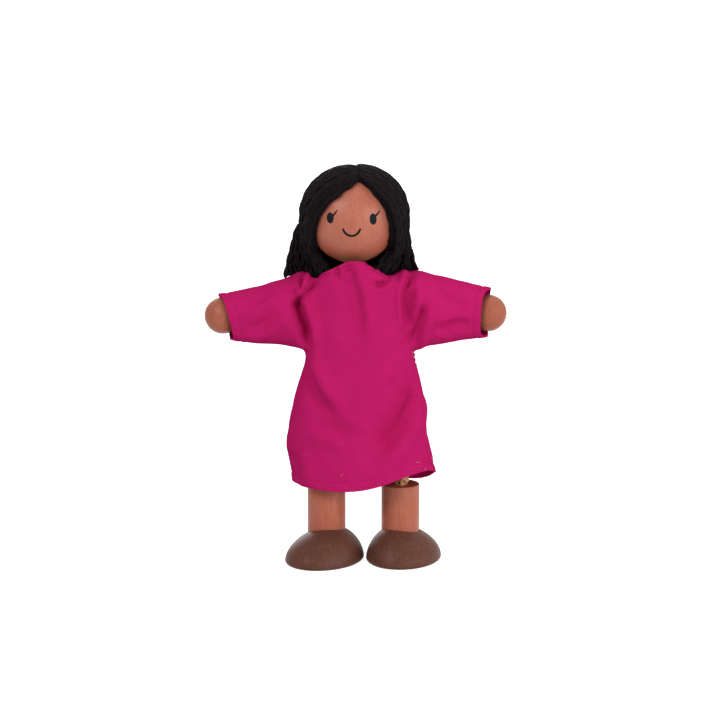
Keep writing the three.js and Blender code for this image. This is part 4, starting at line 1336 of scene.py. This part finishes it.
def rope_and_wire(limb, name, line, first_side, keep):
    """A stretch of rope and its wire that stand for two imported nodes."""
    def stretch(points, radius):
        points = [p for p in points if keep(p)]
        return points, [radius] * len(points)

    strands = [stretch(*strand) for strand in braid(line, first_side)]
    rope = strand_piece(f"braid_{limb}_{name}", strands, golden_cord)
    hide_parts(f"{limb}_rope_{name}")
    wire = strand_piece(f"steel_{limb}_{name}", [stretch(line, WIRE_R)], soft_steel, 10)
    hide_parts(f"{limb}_wire_{name}")
    return rope, wire


for piece in rope_and_wire("arm", "middle", arm_line, (0, 1, 0), lambda p: abs(p.x) < 10.2):
    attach(piece, "torso")
for name, side in SIDES.items():
    first = rope_and_wire("upper_arm", name, arm_line, (0, 1, 0), lambda p: 10 < p.x * side < 24.1)
    second = rope_and_wire("forearm", name, arm_line, (0, 1, 0), lambda p: 23.9 < p.x * side < 60)
    for piece in first:
        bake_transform(piece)
    for piece in second:
        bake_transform(piece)

# %% Leg ropes
LEG_TOP_Z = 25.1
BODY_BOTTOM_Z = 54.0
HIP_X = 5.6
ROPE_BOW = {"left": 2.4, "right": -0.6}  # sideways, half way down

for name, side in SIDES.items():
    foot = leg_places[name]
    hip, bow = side * HIP_X, ROPE_BOW[name]
    under_body, over_leg = BODY_BOTTOM_Z - 3, LEG_TOP_Z + 2.2
    line = smooth_line([
        (hip, 0, BODY_BOTTOM_Z + 9), (hip, 0, BODY_BOTTOM_Z), (hip, 0, under_body),
        ((hip + foot.x) / 2 + bow, foot.y / 2, (under_body + over_leg) / 2),
        (foot.x + bow / 4, foot.y, over_leg), (foot.x, foot.y, LEG_TOP_Z),
        (foot.x, foot.y, LEG_TOP_Z - 8)])
    for piece in rope_and_wire("hip", name, line, (1, 0, 0), lambda p: p.z > 48):
        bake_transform(piece)
    for piece in rope_and_wire("thigh", name, line, (1, 0, 0), lambda p: 35.8 < p.z < 48.2):
        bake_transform(piece)
    for piece in rope_and_wire("shin", name, line, (1, 0, 0), lambda p: p.z < 36):
        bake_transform(piece)
print("rope pieces:", 9, "wires:", 9)

# %% [markdown]
# ## Loose threads
#
# A hand-sewn garment is never quite clean: under the figure's left arm the seam puckers and shows
# its pale thread, and a few cut ends lie near the hem. Each is a thin strand of about a
# millimetre. The camera's ray through the thread's place in the photograph finds the cloth that
# carries it.


# %% The cloth and the wood in its collar, to lay things on
spots, faces = [], []
for piece in [*tunic_parts.values(), frame["nodes"]["torso"]]:
    first = len(spots)
    spots += [(piece.matrix_world @ vert.co) / MM for vert in piece.data.vertices]
    faces += [[first + i for i in face.vertices] for face in piece.data.polygons]
cloth_tree = BVHTree.FromPolygons(spots, faces)
print("faces to lay threads and yarn on:", len(faces))


# %% Lay the threads
sewing_thread = speckled(
    "sewing_thread", 3000, [(0.35, linear(208, 66, 132)), (0.65, linear(228, 134, 178))],
    (0.00003, 0.5), Roughness=0.8, Specular_IOR_Level=0.1)

THREAD_R = 0.09
THREAD_STEPS = 6
# steps right of and above the photograph's middle, direction in degrees, and length in steps
THREADS = {
    "seam": [(51.4, 9.4, -75, 3.2), (52.0, 6.6, -110, 3.2), (52.4, 3.4, -70, 2.6)],
    "hem": [(70.5, -98.0, 30, 3.5), (60.0, -103.0, 150, 4.0), (-20.0, -115.8, 10, 3.5),
            (63.5, -110.0, 20, 3.0)]}


def laid_thread(across, up, direction, length):
    """A short bent strand on the cloth that the camera sees at a place of the photograph."""
    points = []
    for i in range(THREAD_STEPS + 1):
        t = i / THREAD_STEPS
        turn = math.radians(direction + 50 * (t - 0.5))
        ray = towards(across + length * t * math.cos(turn), up + length * t * math.sin(turn))
        spot, normal, *_ = cloth_tree.ray_cast(EYE, ray)
        if spot is not None:
            points.append(spot + normal * (THREAD_R + 0.12 * math.sin(math.pi * t)))
    return points, [THREAD_R] * len(points)


laid = {
    name: strand_piece(
        f"loose_threads_{name}", [laid_thread(*thread) for thread in threads], sewing_thread)
    for name, threads in THREADS.items()}
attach(laid["seam"], "torso")
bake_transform(laid["hem"])
print("loose threads:", sum(len(threads) for threads in THREADS.values()))

# %% [markdown]
# ## Yarn hair
#
# The hair is black yarn, glued to the ball along a parting and combed down over both sides. It
# could be one sculpted shape with a strand pattern, but its outline and its gaps come from the
# yarn itself. So about five hundred strands are drawn in layers, each a thin tube that starts at
# the parting, follows the ball round to the side and then hangs in a soft crimp to the shoulder.
# A thin dark cap lies under them, like the glue and the lowest yarn.

# %% Finish: black yarn
black_yarn = speckled(
    "black_yarn", (2200, 2200, 700),
    [(0.3, linear(6, 4, 5)), (0.6, linear(20, 14, 17)), (0.8, linear(40, 32, 35))],
    (0.00015, 0.7), detail=3, patches=((420, 420, 200), 0.35, linear(20, 13, 15)),
    Roughness=0.7, Sheen_Weight=0.02, Sheen_Roughness=0.4, Specular_IOR_Level=0.06)

# %% The hair's edges and lengths
# turn from the crown towards the side, and how far forward (-) the front edge lies, in degrees
FACE_EDGE = {
    "left": [(8.5, -32), (25, -38.5), (40, -44), (62, -44), (84, -42), (103, -37), (117, -30),
             (130, -18)],
    "right": [(-8.5, -32), (6.6, -45), (32, -52), (62, -50), (84, -45), (104, -37), (118, -27.5),
              (130, -14)]}
LAST_TURN = [(0, 128), (0.3, 98)]  # how far round the ball a strand lies on it, by its share
PARTING = {"left": (8.5, 3), "right": (-8.5, -3)}  # where the parting lies, in front and behind
PARTING_SPAN = (-32, 52)  # from the face to the back of the head, in degrees off the crown
ROUND_HEAD = (-40, 88)  # where strands leave the ball, from the face edge to the back
STRAND_SIZE = 0.46
# strands on each side, heights off the ball, and where they end: half widths, half depth
HAIR_LAYERS = {
    "outer": (64, {"left": 3.0, "right": 2.15}, {"left": 21.4, "right": 22.6}, 16.1),
    "middle": (50, {"left": 2.1, "right": 1.45}, {"left": 19.2, "right": 20.4}, 15.0),
    "under": (40, {"left": 1.1, "right": 0.8}, {"left": 16.2, "right": 17.4}, 13.2),
    "inner": (58, {"left": 0.5, "right": 0.5}, {"left": 10.0, "right": 12.0}, 10.4)}
FULL_BEHIND = 0.62  # the yarn lies thicker behind, as a share of its height
FALL_BULGE = {"left": 0.4, "right": 2.3}  # outwards, below the ball's widest ring
# by share: the end's angle from the side of the head, and from inside the collar (0) to outside (1)
END_ANGLE = [(0, -50), (0.12, -30), (0.24, -4), (0.34, 6), (0.5, 20), (1, 92)]
END_SPREAD = [(0, 0), (0.12, 0), (0.24, 0.15), (0.36, 0.95), (0.42, 1), (1, 1)]
IN_COLLAR = 10.2  # how far from the head's axis the ends lie inside the collar
BACK_END_Z = 88.0
OVER_COLLAR_Z = 104
IN_COLLAR_Z = 92.8
STRAND_STEPS = 26  # on the ball, and as many in the fall
NAPE_STRANDS = 21
RISE_ENDS = 58  # where the strands lie at their full height, in degrees from the parting


def rest_height(x, y):
    """The height of the cloth, or of the wood in the collar, under a place."""
    hit = cloth_tree.ray_cast(Vector((x, y, OVER_COLLAR_Z)), Vector((0, 0, -1)))[0]
    return max(hit.z, IN_COLLAR_Z) if hit else IN_COLLAR_Z


def on_ball(side, turn, forward):
    """A direction from the head's middle, by a turn off the crown and an angle forward."""
    turn, forward = math.radians(turn), math.radians(forward)
    return Vector((
        SIDES[side] * math.sin(turn) * math.cos(forward), math.sin(forward),
        math.cos(turn) * math.cos(forward)))


def combed(side, share, t):
    """Where a strand lies on the ball: t is 0 at the parting and 1 under the widest ring."""
    start = along(list(zip((0, 1), PARTING[side])), share)
    turn = start + (along(LAST_TURN, share) - start) * t
    edge = along(FACE_EDGE[side], turn)
    beside_face = on_ball(side, turn, edge + (80 - edge) * share)
    low, high = PARTING_SPAN
    top = on_ball(side, start, low + (high - low) * share)
    azimuth = math.radians(ROUND_HEAD[0] + (ROUND_HEAD[1] - ROUND_HEAD[0]) * share)
    below = Vector((SIDES[side] * math.cos(azimuth), math.sin(azimuth), -0.14)).normalized()
    blend = float(eased(share / 0.45))
    return beside_face.lerp(top.slerp(below, t), blend).normalized()


def strand_end(side, share, layer, chance):
    """Where a strand ends, from the head's middle, its angle, and how far out it lies, 0 to 1."""
    _, _, half_width, half_depth = HAIR_LAYERS[layer]
    azimuth = math.radians(along(END_ANGLE, share) + chance.uniform(-3, 3))
    spread = 0.0 if layer == "inner" else along(END_SPREAD, share)
    inside = IN_COLLAR + chance.uniform(-1.6, 1.0)
    end = Vector((
        SIDES[side] * (inside + (half_width[side] - inside) * spread) * math.cos(azimuth),
        (inside + (half_depth - inside) * spread) * math.sin(azimuth), 0))
    rest = rest_height(HEAD.x + end.x, HEAD.y + end.y) - chance.uniform(0.6, 1.6)
    if end.y > 8 and layer != "inner":
        rest += (BACK_END_Z + chance.uniform(0, 2.5) - rest) * min(1, (end.y - 8) / 4)
    end.z = rest - HEAD.z
    return end, azimuth, spread


def crimped(points, clump, chance):
    """The strand's points with a wave that grows towards its end, and its radii."""
    phase = clump * 2.1 + chance.uniform(-0.7, 0.7)
    crimp_length = 5.4 + 0.5 * math.sin(clump)
    run = 0.0
    waved = []
    for i, (spot, (u, _)) in enumerate(zip(points, frames_along(points, (0, 1, 0.01)))):
        if i:
            run += (points[i] - points[i - 1]).length
        size = 0.12 + 0.4 * (i / (len(points) - 1)) ** 1.5
        swing = math.sin(2 * math.pi * run / crimp_length + phase)
        lift = math.cos(2 * math.pi * run / (crimp_length * 0.87) + phase * 1.7)
        place = HEAD + spot + u * size * swing + spot.normalized() * size * 0.6 * (lift + 0.6)
        if place.z < OVER_COLLAR_Z - 2 and place.y < 8:
            place.z = max(place.z, rest_height(place.x, place.y) + STRAND_SIZE)
        waved.append(place)
    radii = [STRAND_SIZE * (0.94 + 0.1 * math.sin(i * 1.3 + phase)) for i in range(len(waved))]
    radii[-1] *= 0.6
    return waved, radii


def hair_strand(side, share, layer, chance):
    """Points and radii of one strand. Share is 0 at the face and 1 at the back of the head."""
    off = HAIR_LAYERS[layer][1][side] + chance.uniform(-0.22, 0.22)
    low = STRAND_SIZE * 0.8
    points = []
    for i in range(STRAND_STEPS + 1):
        t = i / STRAND_STEPS
        direction = combed(side, share, t)
        full = 1 + FULL_BEHIND * max(0.0, direction.y) ** 1.5
        rise = min(1.0, (t * 92 + 4) / RISE_ENDS) ** 0.4
        points.append(direction * (HEAD_R + low + (off * full - low) * (0.25 + 0.75 * rise)))
    end, azimuth, spread = strand_end(side, share, layer, chance)
    first = points[-1]
    drop = (end - first).length
    leave = (points[-1] - points[-2]).normalized() * drop * 0.9
    arrive = Vector((end.x * 0.25, end.y * 0.1, 0)) * (3 * spread - 2) + Vector((0, 0, -drop * 0.8))
    bulge = Vector((SIDES[side], 0, 0)) * FALL_BULGE[side] * math.cos(azimuth) ** 2 * spread
    for i in range(1, STRAND_STEPS + 1):
        t = i / STRAND_STEPS
        spot = (first * (2 * t ** 3 - 3 * t * t + 1) + leave * (t ** 3 - 2 * t * t + t)
                + end * (3 * t * t - 2 * t ** 3) + arrive * (t ** 3 - t * t)
                + bulge * 2.6 * math.sqrt(t) * (1 - t))
        clear = HEAD_R + 0.6 + (off - 0.6) * max(0.0, 1 - 1.4 * t)
        if spot.length < clear:
            spot *= clear / spot.length
        points.append(spot)
    return crimped(points, round(share * 9) + (5 if side == "left" else 0), chance)


def nape_strands(side, ring, chance):
    """A row of short strands under the ball. Two of them close the view between neck and back."""
    strands = []
    for k in range(NAPE_STRANDS):
        turn = math.radians(4 + 88 * (k - 0.5 * ring) / (NAPE_STRANDS - 1))
        points = []
        for i in range(9):
            t = i / 8
            out = 10.4 - 1.8 * ring - 1.2 * t + chance.uniform(-0.1, 0.1)
            lean = turn + 0.1 * t
            points.append(HEAD + Vector((
                SIDES[side] * out * math.cos(lean), out * math.sin(lean),
                -10.6 - 1.6 * ring - (5.2 + 1.4 * ring) * t)))
        strands.append((points, [STRAND_SIZE] * len(points)))
    return strands


# %% Lay the strands
# The ends lie on the shoulders.
chance = random.Random(12)
locks = {"hair_front_left": [], "hair_front_right": [], "hair_back": []}
for side in SIDES:
    for layer, (count, *_) in HAIR_LAYERS.items():
        for k in range(count):
            share = (k + 0.5 * (layer == "middle")) / (count - 0.5)
            share = min(1.0, max(0.0, share + chance.uniform(-0.006, 0.006)))
            lock = "hair_back" if share > 0.62 else f"hair_front_{side}"
            locks[lock].append(hair_strand(side, share, layer, chance))
    locks["hair_back"] += nape_strands(side, 0, chance)
for side in SIDES:
    locks["hair_back"] += nape_strands(side, 1, chance)
for name, strands in locks.items():
    lock = strand_piece(f"yarn_{name}", strands, black_yarn, 6)
    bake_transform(lock)
    fall = name.replace("front", "fall").replace("hair_back", "hair_fall_back")
    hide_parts("hair_cap", fall)
    print(lock.name, "strands:", len(strands), "faces:", len(lock.data.polygons))

# %% Glue cap under the yarn
drawing = bmesh.new()
bmesh.ops.create_uvsphere(drawing, u_segments=64, v_segments=40, radius=HEAD_R + 0.35)


def under_hair(spot):
    """Whether a direction from the head's middle is covered by hair."""
    unit = spot.normalized()
    turn = math.degrees(math.atan2(unit.x, unit.z))
    forward = math.degrees(math.asin(unit.y))
    side = "left" if turn > 6 else "right"
    turn = turn if side == "left" else -turn
    if turn > 118:
        return unit.y > 0.35
    return forward > along(FACE_EDGE[side], turn) + 5


bare = [f for f in drawing.faces if not under_hair(f.calc_center_median())]
bmesh.ops.delete(drawing, geom=bare, context="FACES")
bmesh.ops.translate(drawing, vec=HEAD, verts=drawing.verts)
cap = make_piece(drawing, "yarn_glue_cap")
modify(cap, "SOLIDIFY", thickness=0.3 * MM, offset=0)
apply_modifiers(cap)
dress(cap, black_yarn)
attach(cap, "head")
